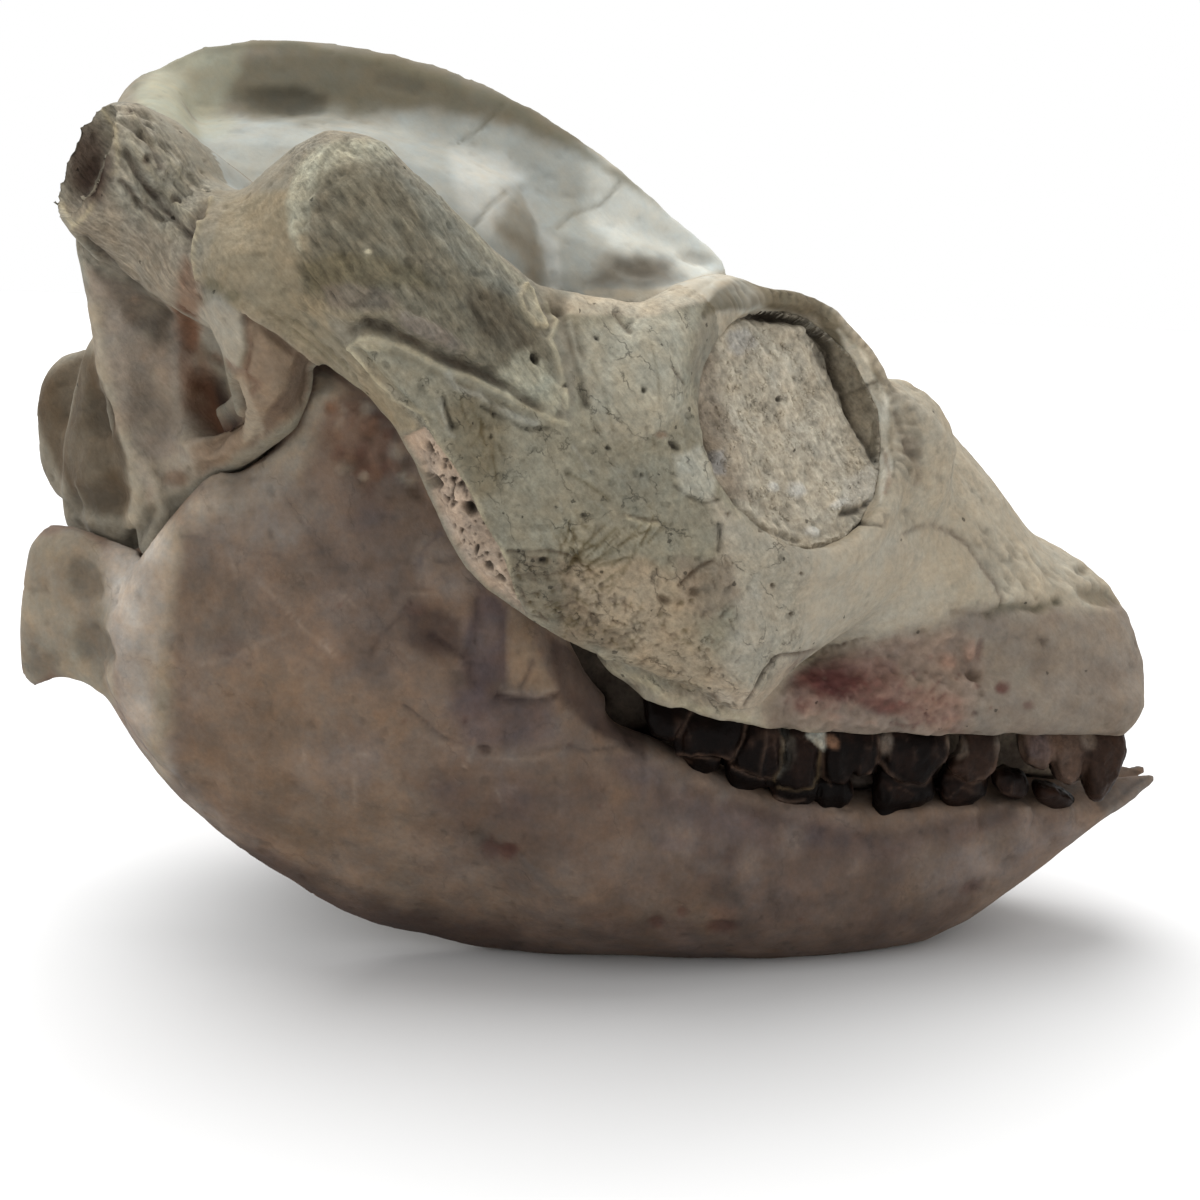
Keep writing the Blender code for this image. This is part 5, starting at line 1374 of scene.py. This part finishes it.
def crumbTree():
    # Scatters angular crumbs of rock over the faces marked as crumbly
    tree = bpy.data.node_groups.new("rockCrumbs", "GeometryNodeTree")
    tree.interface.new_socket(name="Geometry", in_out="INPUT", socket_type="NodeSocketGeometry")
    for name in ("Density", "Smallest", "Largest"):
        tree.interface.new_socket(name=name, in_out="INPUT", socket_type="NodeSocketFloat")
    tree.interface.new_socket(name="Seed", in_out="INPUT", socket_type="NodeSocketInt")
    tree.interface.new_socket(name="Material", in_out="INPUT", socket_type="NodeSocketMaterial")
    tree.interface.new_socket(name="Geometry", in_out="OUTPUT", socket_type="NodeSocketGeometry")
    given = addNode(tree, "NodeGroupInput").outputs
    marked = addNode(tree, "GeometryNodeInputNamedAttribute", {"Name": "crumbly"},
                     data_type="FLOAT").outputs["Attribute"]
    spread = combine(tree, "MULTIPLY", marked, given["Density"])
    points = addNode(tree, "GeometryNodeDistributePointsOnFaces", (), {
        "Mesh": given["Geometry"], "Density": spread, "Seed": given["Seed"]}, distribute_method="RANDOM")
    stone = addNode(tree, "GeometryNodeMeshIcoSphere", {"Radius": 1.0, "Subdivisions": 1}).outputs["Mesh"]
    size = addNode(tree, "FunctionNodeRandomValue", (), {
        2: given["Smallest"], 3: given["Largest"], "Seed": given["Seed"]}, data_type="FLOAT").outputs[1]
    squash = addNode(tree, "FunctionNodeRandomValue", {0: (0.6, 0.6, 0.5), 1: (1.3, 1.0, 0.8)},
                     data_type="FLOAT_VECTOR")
    scale = addNode(tree, "ShaderNodeVectorMath", (), {0: squash.outputs[0], "Scale": size},
                    operation="SCALE")
    turn = addNode(tree, "FunctionNodeRandomValue", {0: (0.0, 0.0, 0.0), 1: (6.28, 6.28, 6.28)},
                   data_type="FLOAT_VECTOR")
    made = addNode(tree, "GeometryNodeInstanceOnPoints", (), {
        "Points": points.outputs["Points"], "Instance": stone,
        "Rotation": turn.outputs[0], "Scale": scale.outputs[0]})
    real = addNode(tree, "GeometryNodeRealizeInstances", (), {"Geometry": made.outputs[0]})
    dressed = addNode(tree, "GeometryNodeSetMaterial", (), {
        "Geometry": real.outputs[0], "Material": given["Material"]})
    addNode(tree, "NodeGroupOutput", (), {"Geometry": dressed.outputs[0]})
    return tree


def addCrumbs(name, base, marks, seed):
    # One plain mesh of crumbs lying on the given object
    item = bpy.data.objects.new(name, base.data.copy())
    bpy.context.scene.collection.objects.link(item)
    layer = item.data.attributes.new("crumbly", "FLOAT", "POINT")
    layer.data.foreach_set("value", marks.astype(np.float32))
    scatter = item.modifiers.new("Crumbs", "NODES")
    tree = crumbTree()
    scatter.node_group = tree
    values = {
        "Density": crumb["perSquareMetre"] * 1, "Seed": crumb["seed"] + seed,
        "Smallest": crumb["smallest"] * mm, "Largest": crumb["largest"] * mm, "Material": looks["siltstone"],
    }
    for socket in tree.interface.items_tree:
        if socket.in_out == "INPUT" and socket.name in values:
            scatter[socket.identifier] = values[socket.name]
    applyAll(item)
    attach(item, "root")
    print(name, len(item.data.polygons))


orbitFill = {"swell": 0.32, "broad": 0.35, "lumps": 0.30, "fine": 0.10, "hollows": 0.05, "sunk": 0.2}


def orbitMatrix(node, name, crumbName, seed):
    skin = coveredSkin([node], voxel=0.36, smooth=8)
    skin["points"] += skin["normals"] * orbitFill["swell"]
    measure(skin)
    skin = refineNear(skin, skin["facing"][skin["faces"]].min(axis=1) > 0.2, smooth=1)
    points = skin["points"]
    mixPaint(skin, slice(None), "rock", np.ones(len(points)))
    broad = layeredNoise(points, 3.0, seed, 3)
    lumps = layeredNoise(points, 1.7, seed + 4, 4)
    fine = grainNoise(points, 0.45, seed + 8)
    hollows = softStep(grainNoise(points, 0.9, seed + 12), 0.45, 0.8)
    face = softStep(skin["facing"], 0.15, 0.5)
    relief = orbitFill["broad"] * broad + orbitFill["lumps"] * lumps + orbitFill["fine"] * fine
    skin["height"] = face * (relief - orbitFill["hollows"] * hollows - orbitFill["sunk"])
    scraped = fibreNoise(points, (0.55, 0.83), 0.6, 4.5, seed + 40)
    skin["height"] += 0.12 * face * scraped
    # The rock's colour follows its relief: painted shade in the hollows, painted highlight on the lumps and
    # scrapes.
    reliefShading = 1 + 0.14 * broad + 0.16 * lumps + 0.10 * fine - 0.14 * hollows + 0.14 * scraped
    skin["paint"] *= reliefShading[:, None]
    warm = layeredNoise(points, 2.4, seed + 20, 3)[:, None]
    skin["paint"] *= 1 + warm * np.array([0.03, 0.0, -0.04])
    drawAll(skin, matrixAreas, matrixLines, matrixSpots)
    # Worked along the orbit's axis, so that the steep front wall doesn't fold
    out = np.array(orbit["out"]) / np.linalg.norm(orbit["out"])
    outward = np.tile(out, (len(points), 1))
    outward[:, 1] *= np.where(points[:, 1] > 0, -1, 1)
    skin["points"] = points + outward * (skin["height"] * face)[:, None]
    skin["height"][:] = 0
    skin["detail"][:] = (0.5, 0.2, 0.5)
    item = paintedObject(name, measure(skin))
    finishPiece(item, "siltstone", [node])
    ahead, up, _ = orbitPlace(skin["points"])
    middle = softStep(skin["facing"], 0.4, 0.6) * (1 - softStep(np.hypot(ahead, up), 0.72, 0.9))
    clumps = softStep(layeredNoise(skin["points"], 2.0, seed + 30, 2), -0.2, 0.5)
    addCrumbs(crumbName, item, middle * clumps, seed)


orbitMatrix("orbit_matrix_right", "orbitRockRight", "orbitCrumbsRight", 510)
orbitMatrix("orbit_matrix_left", "orbitRockLeft", "orbitCrumbsLeft", 540)


# Rock between the jaws

rockAreas = {
    # The rock seen behind the teeth, under the jugal, is painted dark: painted shadow.
    "dark": ("540,620 700,690 780,720 830,740 880,780 900,830 800,830 700,790 600,760 540,680", 16,
        "rockDark", 0.95),
    # The gap between the tooth rows is painted black: painted shade.
    "teethGap": ("640,740 760,760 900,770 1060,775 1080,800 1000,812 860,812 740,800", 10, "rockBlack", 0.9),
}
rockSpots = {
    "creamFill": ((862, 786), (15, 12), 0, 0.3, "jawPatch", 0.95),
    "creamFront": ((1062, 791), (18, 7), 25, 0.3, "jawDark", 0.8),
    "paleBetween": ((1012, 758), (14, 14), 0, 0.3, "jawDark", 0.7),
    # Two pits behind the teeth are sunk and painted near-black: painted shade.
    "pitA": ((595, 701), (11, 11), 0, -1.5, "pit", 0.95),
    "pitB": ((646, 736), (15, 7), 10, -1.2, "pit", 0.95),
}
rockSkin = coveredSkin(["jaw_rock"], voxel=0.6, smooth=10)
mixPaint(rockSkin, slice(None), "rockWarm", np.ones(len(rockSkin["points"])))
drawAll(rockSkin, rockAreas, None, rockSpots)
rockRough = layeredNoise(rockSkin["points"], 4.0, 610, 4)
rockSkin["height"] += 0.5 * rockRough
# The rock's colour follows its relief: painted shade in the hollows, painted highlight on the lumps.
rockSkin["paint"] *= (1 + 0.25 * rockRough)[:, None]
settle(rockSkin)
finishPiece(paintedObject("jawRock", rockSkin), "siltstone", ["jaw_rock"])

# Mandible

jawAreas = {
    "warmBody": ("190,660 300,650 400,700 440,760 620,770 760,870 700,930 420,925 300,890 230,830 180,760",
        60, "jawWarm", 0.7),
    "front": ("640,790 760,810 900,850 990,850 1060,820 1080,830 1000,880 900,930 780,930 680,870", 50,
        "jawFront", 0.6),
    "belowTeeth": ("620,770 700,800 820,822 900,834 1000,812 1060,816 960,846 880,860 820,858 700,850 "
        "640,830", 26, "jawMauve", 0.55),
    "middle": ("420,760 600,775 700,830 900,850 900,900 760,930 600,906 430,880", 60, "jawMiddle", 0.8),
    "chinGrey": ("915,850 1000,842 1070,822 1080,834 1030,860 960,890 920,890", 24, "chinGrey", 0.8),
    "hookPlate": ("30,536 75,530 100,545 112,560 110,640 118,700 100,712 80,685 50,672 20,695 10,650 20,590",
        10, "hook", 0.9),
    # The jaw's back-facing rear, its top and its rim are painted paler where they face the light from behind:
    # painted light.
    "rearPale": ("104,556 130,520 160,508 180,528 170,600 158,700 176,780 250,846 200,826 128,730 112,690",
        24, "rearPale", 0.85),
    "rearTop": ("110,556 134,528 172,520 174,600 160,650 124,650 112,610", 26, "rearTop", 0.8),
    "rearRim": ("168,520 184,536 172,620 162,700 172,800 150,780 148,700 156,600", 30, "rearRim", 0.6),
    "topPale": ("316,376 336,384 344,396 322,420 312,456 296,490 270,506 240,512 190,532 182,500 205,476 "
        "257,447 290,415", 30, "jawTop", 0.85),
    "topGrey": ("186,484 250,466 300,476 330,505 300,552 250,548 190,538", 26, "jawGrey", 0.75),
    "darkTop": ("344,402 372,394 405,420 420,470 440,520 424,556 380,566 345,530 350,460", 30, "jawDark",
        0.8),
    "byArch": ("380,396 410,420 414,470 420,504 404,500 396,440", 10, "rootStain", 0.75),
    "topStain": ("322,402 348,396 372,410 392,440 400,470 372,482 344,470 330,440", 16, "rust", 0.5, -0.1),
    "leftDark": ("186,536 250,548 268,600 262,650 200,664 174,640", 50, "jawLeft", 0.8),
    "pinkStrip": ("272,556 316,556 322,600 330,640 300,640 280,600", 30, "jawPink", 0.75),
    "centreDark": ("318,556 410,556 414,600 400,640 380,690 340,660 320,610", 36, "jawDark", 0.75),
    "patchLight": ("418,545 452,536 476,556 474,590 462,602 440,592 420,580", 14, "jawPatch", 0.8),
    "mauveStrip": ("474,560 510,590 507,680 480,692 460,670 466,624 476,600", 16, "jawMauve", 0.85),
    "darkHollow": ("404,612 440,604 462,620 458,650 430,656 404,640", 14, "jawBlack", 0.7),
    "darkLow": ("450,672 500,684 508,700 480,720 452,708", 14, "jawBlack", 0.65),
    "plateSpot": ("506,600 536,610 534,650 520,690 506,686", 6, "plate", 0.85),
    "plateFront": ("534,640 556,690 548,696 522,690", 5, "plate", 0.7),
    "mauveLow": ("448,684 510,698 556,704 566,744 520,748 470,742 446,712", 20, "jawMauve", 0.6),
    # The jaw behind the teeth, under the jugal, is painted black: painted shadow.
    "behindTeeth": ("540,600 600,650 640,700 650,760 600,740 560,700", 9, "jawBlack", 0.85),
    # The jaw is painted darker towards its underside and lower rear: painted shade.
    "underside": ("170,790 260,838 330,880 420,905 520,918 700,926 860,920 960,890 980,990 500,1000 200,900",
        40, "jawUnder", 0.75),
    "underRear": ("230,838 330,890 420,915 520,930 520,970 380,960 230,900", 24, "jawBlack", 0.6),
    "chinTip": ("1095,800 1118,782 1160,770 1165,790 1110,825", 8, "tip", 0.8),
}
jawLines = {
    "upperPlateEdge": ("500,688 512,692 538,694 555,688", 2.6, 0.4, "jawLine", 0.6),
    "upperPlateShade": ("498,696 512,700 540,701 556,695", 3.0, -0.6, "jawBlack", 0.7),
    "plateSide": ("533,660 528,676 520,690", 2.0, -0.35, "jawDark", 0.7),
    "plateRear": ("507,600 506,640 505,686", 2.6, -0.3, "jawMauve", 0.6),
    "wavyCrack": ("404,705 424,722 442,737 462,746 484,750 510,753 532,753 560,747 590,750 616,746", 2.4,
        -0.4, "jawDark", 0.7),
    "wavyLip": ("440,742 484,756 532,759 560,753", 2.4, 0.15, "jawLine", 0.3),
    "crackA": ("183,536 220,541 254,551 296,559 321,551", 2.0, -0.2, "jawDark", 0.55),
    "crackA2": ("321,551 312,534 299,517 288,500 280,488", 1.8, -0.15, "jawDark", 0.4),
    "crackB": ("373,652 378,640 392,626 404,612 412,600", 2.4, -0.35, "jawBlack", 0.5),
    "crackC": ("419,566 424,552 436,538 444,528", 2.4, -0.3, "jawMauve", 0.6),
    "darkCrackA": ("430,634 444,644 458,654", 3.6, -0.5, "jawBlack", 0.85),
    "darkCrackB": ("465,656 470,644 486,634", 3.6, -0.5, "jawBlack", 0.7),
    "darkCrackC": ("476,600 480,624 472,650 470,680", 4.5, -0.4, "jawBlack", 0.5),
    "paleVeinA": ("262,584 284,604 304,630 334,654", 2.4, 0.15, "jawLine", 0.35),
    "paleVeinB": ("200,664 226,660 256,646 290,632", 2.2, 0.1, "jawLine", 0.3),
    # The rear rim ridge is raised and painted in the lighter rear tone: painted highlight.
    "rimRidge": ("180,536 170,600 162,660 160,740", 6.0, 0.3, "rearRim", 0.3),
    "tipRidge": ("1100,815 1125,798 1150,780", 3.5, 0.4, "jawLine", 0.3),
    "tipGroove": ("1112,803 1128,790 1143,778", 3.5, -0.5, "tip", 0.7),
    "slopeRidge": ("205,478 245,456 282,424 318,380", 4.0, 0.3, "jawTop", 0.5),
    "gumShade": ("690,790 740,806 790,824 836,836 890,838 950,824 1010,812", 7, -0.2, "jawBlack", 0.35),
}
jawSpots = {
    "redSpot": ((490, 850), (10, 9), 0, -0.3, "jawRed", 0.9),
    "redSpotEnd": ((507, 852), (10, 8), 0, -0.3, "jawRed", 0.9),
    "redTopA": ((360, 455), (6, 6), 0, -0.2, "jawRed", 0.7),
    "redTopB": ((363, 470), (8, 9), 0, -0.2, "jawRed", 0.5),
    "redMiddle": ((416, 608), (10, 8), 0, 0, "jawRed", 0.35),
    # The hollows on the hook are sunk and painted dark: painted shade.
    "hollowA": ((85, 580), (14, 22), -10, -0.9, "hookDark", 0.7),
    "hollowB": ((94, 646), (15, 24), -25, -0.9, "hookDark", 0.75),
    "hollowC": ((42, 664), (18, 10), -15, -0.5, "hookDark", 0.6),
    "lowSpotA": ((683, 912), (6, 5), 0, -0.3, "jawRed", 0.7),
    "lowSpotB": ((657, 922), (8, 6), 0, -0.3, "jawRed", 0.6),
    "scar": ((722, 912), (15, 9), 0, 0.3, "scar", 0.5),
    "scarShade": ((722, 926), (15, 7), 0, -0.4, "jawRed", 0.8),
    "chinSpot": ((972, 887), (10, 6), -30, -0.3, "jawRed", 0.5),
    "mentalForamen": ((1010, 862), (8, 5), -30, -0.4, "jawDark", 0.5),
    "mauveSpot": ((671, 843), (16, 8), 10, -0.2, "jawMauve", 0.6),
    "mauveSpotB": ((640, 770), (30, 12), 20, -0.2, "jawMauve", 0.5),
    "crackPit": ((484, 750), (6, 5), 0, -0.6, "jawBlack", 0.6),
    "darkPatch": ((436, 648), (24, 14), 20, -0.2, "jawBlack", 0.45),
}
jawScattered = {
    "clouds": ("120,560 340,380 420,420 520,600 640,760 1080,830 900,930 420,930 180,780", 190, 30, 0.95,
        0.05, ("jawDark", "jawPatch", "jawWarm", "jawMauve", "jawGrey"), 0.28),
    "topMottle": ("322,398 350,396 404,420 420,500 380,500 340,470", 60, 9, 0.8, -0.15, ("rootStain", "rust",
        "jawTop", "jawRed"), 0.5),
    "specks": ("180,540 420,520 560,720 1040,840 900,930 420,930 200,780", 70, 3.0, 0.7, -0.1, ("jawRed",
        "jawDark"), 0.5),
    "veins": ("190,560 420,560 500,800 260,800", 30, 40, 1.6, -0.06, ("jawDark", "jawLine"), 0.35, (0.8,
        0.6), 1.4),
    "gumMottle": ("650,780 900,840 1060,815 1040,850 880,880 660,840", 50, 15, 0.9, 0.0, ("jawMauve",
        "jawPatch", "jawBlack"), 0.3),
}
for side, name, node in ((1, "jawLeft", "mandible_left"), (-1, "jawRight", "mandible_right")):
    skin = jaws[side]
    mixPaint(skin, slice(None), "jaw", np.ones(len(skin["points"])))
    drawAll(skin, jawAreas, jawLines, jawSpots)
    for number, values in enumerate(jawScattered.values()):
        scatterMarks(skin, *values, seed=50000 + 1000 * number)
    weather(skin, 700 + side, 0.8)
    streaks = fibreNoise(skin["points"], (0.6, 0.8), 3.0, 3, 730 + side)
    streaks = streaks + 0.6 * layeredNoise(skin["points"], 4.5, 740 + side, 4)
    skin["paint"] *= (1 + 0.19 * streaks)[:, None]
    skin["detail"][:] = (0.12, 0.4, 0.0)
    skin["rough"][:] = 0.8
    settle(skin)
    item = paintedObject(name, skin, way=(0.5, 0.86), stretch=2.5)
    finishPiece(item, "jawBone", [node])

# Teeth: each crown is an outline in the picture, rounded through its width, with its root in the bone

upperTeeth = {
    "thirdMolarBack": "648,685 645,712 652,734 668,744 680,733 694,700",
    "thirdMolar": "698,700 684,724 675,738 677,756 690,758 712,758 731,760 742,738 752,705",
    "secondMolar": "755,702 744,736 733,764 747,774 760,778 774,779 782,761 784,738 776,705",
    "firstMolar": "793,712 787,740 786,760 776,779 782,789 800,790 816,788 821,754 816,712",
    "lastPremolar": "832,710 823,745 821,778 836,785 850,782 849,773 866,777 878,768 882,745 880,710",
    "thirdPremolar": "892,715 883,750 881,765 894,778 908,784 926,784 937,769 951,750 946,715",
    "secondPremolar": "968,715 963,750 947,767 957,776 972,784 990,775 999,758 1001,715",
    "firstPremolar": "1024,715 1022,748 1026,764 1040,771 1052,762 1055,740 1052,715",
    "outerIncisor": "1058,715 1053,745 1054,768 1060,782 1078,784 1086,760 1090,715",
    "canine": "1096,708 1086,745 1084,775 1089,796 1098,804 1112,788 1123,764 1128,738 1120,708",
    "paleSplint": "806,736 813,728 824,716 827,732 822,750 813,744",
}
lowerTeeth = {
    "thirdMolar": "684,745 685,768 696,783 711,776 720,762 722,745",
    "secondMolar": "730,756 727,780 732,802 744,800 757,791 770,786 766,760",
    "firstMolar": "774,770 771,796 776,814 788,819 803,811 818,800 818,770",
    "lastPremolar": "822,775 817,804 824,826 832,830 842,814 854,796 846,775",
    "thirdPremolar": "882,765 874,798 879,828 895,831 912,816 932,803 935,785 920,765",
    "secondPremolar": "950,768 940,784 944,806 954,815 968,815 981,801 990,785 980,768",
    "firstPremolar": "998,772 996,784 1002,794 1013,801 1024,800 1030,786 1024,772",
    "canine": "1036,788 1040,803 1054,812 1070,812 1078,802 1064,792 1048,786",
}
toothForm = {"halfWidth": 2.5, "rings": 9, "around": 36, "flatness": 0.3}


def roundOutline(points, count):
    # A closed curve through the given points
    ring = np.array(points, float)
    spots = np.arange(count) / count * len(ring)
    first = spots.astype(int)
    t = (spots - first)[:, None]
    a, b, c, d = (ring[(first + k) % len(ring)] for k in (-1, 0, 1, 2))
    square, cube = 2 * a - 5 * b + 4 * c - d, 3 * b - a - 3 * c + d
    return 0.5 * (2 * b + (c - a) * t + square * t ** 2 + cube * t ** 3)


def toothBody(name, outline, side, inset):
    rowSide = toothRow["side"]
    places = []
    for u, v in roundOutline(outlinePoints(outline), toothForm["around"]):
        y = 20.0
        for _ in range(4):
            x, _, z = pointAt(u, v, -(y - inset + 1.2))
            y = curveAt(rowSide, x)
        places.append((x, z))
    flat = np.array(places)
    middle = flat.mean(axis=0)
    rings = []
    for turn in np.linspace(-1.42, 1.42, toothForm["rings"]):
        ring = middle + (flat - middle) * math.cos(turn) ** toothForm["flatness"]
        offset = toothForm["halfWidth"] * math.sin(turn) - inset
        rings.append([(x, side * (curveAt(rowSide, x) + offset), z) for x, z in ring])
    return loft(name, rings)


def toothPiece(name, table, side, inset, seed):
    bodies = [toothBody(name + key, outline, side, inset) for key, outline in table.items()]
    points, quads = remeshedAll(bodies, 0.28 * (1))
    skin = makeSkin(smoothed(points, quads, 3), triangles(points, quads))
    points = skin["points"]
    mixPaint(skin, slice(None), "enamel", np.ones(len(points)))
    # The root slips under the gum and carries less relief there
    rise = points[:, 2] - curveAt(toothRow["upperGum"], points[:, 0])
    if inset:
        rise = curveAt(toothRow["lowerGum"], points[:, 0]) - points[:, 2]
    under = softStep(rise, -1.6, 0.8)
    outerFace = side * points[:, 1] > curveAt(toothRow["side"], points[:, 0]) - inset
    points[:, 1] -= side * 1.3 * under * outerFace
    creases = 1 - np.abs(fibreNoise(points, (0.15, 1.0), 1.9, 2.5, seed))
    ribs = fibreNoise(points, (0.15, 1.0), 0.8, 5, seed + 1)
    chips = np.abs(layeredNoise(points, 1.3, seed + 3, 3))
    skin["height"] += (1 - 0.85 * under) * (0.5 * (creases - 0.6) + 0.08 * ribs - 0.35 * chips)
    brown = softStep(layeredNoise(points, 2.6, seed + 6, 3), -0.1, 0.5)
    mixPaint(skin, slice(None), "enamelBrown", 0.6 * brown)
    # The highest crease crests are painted pale: painted highlight.
    mixPaint(skin, slice(None), "enamelPale", 0.2 * softStep(creases, 0.9, 1.0) * brown)
    drawAll(skin, toothAreas, toothLines, toothSpots)
    skin["rough"][:] = 1.3
    settle(skin)
    item = paintedObject(name, skin, way=(0.1, 1.0), stretch=3.0)
    finishPiece(item, "toothEnamel")


def remeshedAll(items, voxel):
    work = bmesh.new()
    for item in items:
        work.from_mesh(item.data)
    mesh = bpy.data.meshes.new("row")
    work.to_mesh(mesh)
    work.free()
    row = bpy.data.objects.new("row", mesh)
    bpy.context.scene.collection.objects.link(row)
    skin = row.modifiers.new("Skin", "REMESH")
    skin.mode = "VOXEL"
    skin.voxel_size = voxel * mm
    applyAll(row)
    points = np.zeros(len(row.data.vertices) * 3)
    row.data.vertices.foreach_get("co", points)
    quads = np.zeros(len(row.data.polygons) * 4, int)
    row.data.polygons.foreach_get("vertices", quads)
    for item in [*items, row]:
        bpy.data.objects.remove(item, do_unlink=True)
    return points.reshape(-1, 3) / mm, quads.reshape(-1, 4)


toothAreas = {
    "splintFace": ("806,738 812,728 822,714 830,714 824,752 816,744", 3, "jugalCool", 0.8),
    "molarRock": ("780,728 794,738 796,756 790,770 778,776 783,756", 5, "molarStain", 0.5),
    "frontBrown": ("1050,735 1084,730 1086,770 1076,790 1050,790", 12, "enamelPale", 0.6),
    "frontPale": ("1018,735 1054,735 1056,765 1040,776 1016,765", 12, "enamelPale", 0.7),
    "canineBrown": ("1084,730 1132,730 1126,770 1104,812 1080,800", 6, "canine", 0.9),
    "premolarBrown": ("948,735 1000,735 1002,780 950,780", 10, "canine", 0.7),
    "lowerFront": ("1030,784 1084,784 1084,816 1030,816", 12, "enamelBrown", 0.8),
}
toothLines = {
    "molarBack": ("698,708 686,722 677,738", 1.6, 0.15, "enamelPale", 0.42),
    "thirdMolarEdge": ("676,756 700,757 730,760", 1.8, 0.15, "enamelPale", 0.48),
    "molarEdge": ("750,716 742,740 731,762", 1.8, 0.15, "enamelPale", 0.54),
    "secondMolarEdge": ("733,766 747,774 762,778 774,780", 1.8, 0.15, "enamelPale", 0.54),
    "molarFold": ("768,721 764,750 760,776", 2.0, 0.3, "enamelPale", 0.3),
    "molarFront": ("783,740 782,762 774,780", 1.8, 0.15, "dentine", 0.36),
    "firstMolarEdge": ("816,742 821,754 819,776 812,788 796,790 778,788", 1.6, 0.15, "dentine", 0.45),
    "firstMolarSide": ("788,740 786,758 778,776", 2.0, 0.1, "molarStain", 0.36),
    "premolarEdge": ("822,750 822,778 832,786", 1.6, 0.1, "enamelPale", 0.36),
    "premolarFront": ("881,738 878,768 866,777", 1.8, 0.15, "enamelPale", 0.42),
    "thirdPremolarEdge": ("881,762 894,778 908,784 926,785 938,769 951,751", 1.6, 0.1, "enamelPale", 0.5),
    "secondPremolarEdge": ("946,768 958,777 972,784 990,775 999,758", 1.6, 0.1, "enamelPale", 0.4),
    "lowerMolarEdge": ("776,800 790,806 804,802", 2.2, 0.2, "enamelPale", 0.6),
}
toothSpots = {
    "mauveIncisor": ((1040, 748), (12, 12), 0, 0.0, "mauve", 0.5),
    "creamChip": ((833, 743), (7, 5), 30, 0.0, "chip", 0.8),
    "firstMolarFace": ((802, 762), (14, 22), 0, 0.0, "enamelBrown", 0.6),
    "papillaA": ((887, 744), (6, 9), 10, 0.0, "papilla", 0.8),
    "papillaB": ((958, 746), (9, 11), -10, 0.0, "papilla", 0.8),
    "papillaC": ((1008, 750), (11, 14), 0, 0.0, "papilla", 0.7),
    "papillaD": ((1090, 740), (7, 9), 0, 0.0, "papilla", 0.6),
}
for side, word in ((-1, "Right"), (1, "Left")):
    toothPiece("upperTeeth" + word, upperTeeth, side, 0.0, 810 + side)
    toothPiece("lowerTeeth" + word, lowerTeeth, side, toothRow["lowerInset"], 840 + side)


# Floor, light and camera

def studio():
    half = 2500
    corners = [(-half, -half, 0), (half, -half, 0), (half, half, 0), (-half, half, 0)]
    floor = meshObject("floor", corners, [(0, 1, 2, 3)])
    # Plain pale studio board
    made, tree = startMaterial("paleFloor")
    shader = addNode(tree, "ShaderNodeBsdfPrincipled",
                     {"Base Color": (*linear("d4d4d4"), 1), "Roughness": 0.95, "Specular IOR Level": 0.0})
    addNode(tree, "ShaderNodeOutputMaterial", (), {"Surface": shader.outputs[0]})
    floor.data.materials.append(made)
    world = bpy.data.worlds.new("softRoom")
    world.use_nodes = True
    world.node_tree.nodes["Background"].inputs["Color"].default_value = (1, 1, 1, 1)
    world.node_tree.nodes["Background"].inputs["Strength"].default_value = 1.0
    bpy.context.scene.world = world
    lamp = bpy.data.lights.new("topLight", "SUN")
    lamp.energy = 3.4
    lamp.angle = math.radians(60)
    item = bpy.data.objects.new("topLight", lamp)
    item.rotation_euler = Vector((0.25, -0.30, -1.0)).to_track_quat("-Z", "Y").to_euler()
    bpy.context.scene.collection.objects.link(item)


def photoCamera():
    place, across, upward, ahead = cameraAxes()
    lens = bpy.data.cameras.new("photoCamera")
    lens.sensor_width = 36
    lens.lens = camera["focal"] / 1200 * 36
    lens.clip_start = 0.005
    item = bpy.data.objects.new("photoCamera", lens)
    bpy.context.scene.collection.objects.link(item)
    rows = [(across[i], upward[i], -ahead[i], place[i] * mm) for i in range(3)] + [(0, 0, 0, 1)]
    item.matrix_world = Matrix(rows)
    bpy.context.scene.camera = item


studio()
photoCamera()
bpy.context.scene.view_settings.view_transform = "Standard"
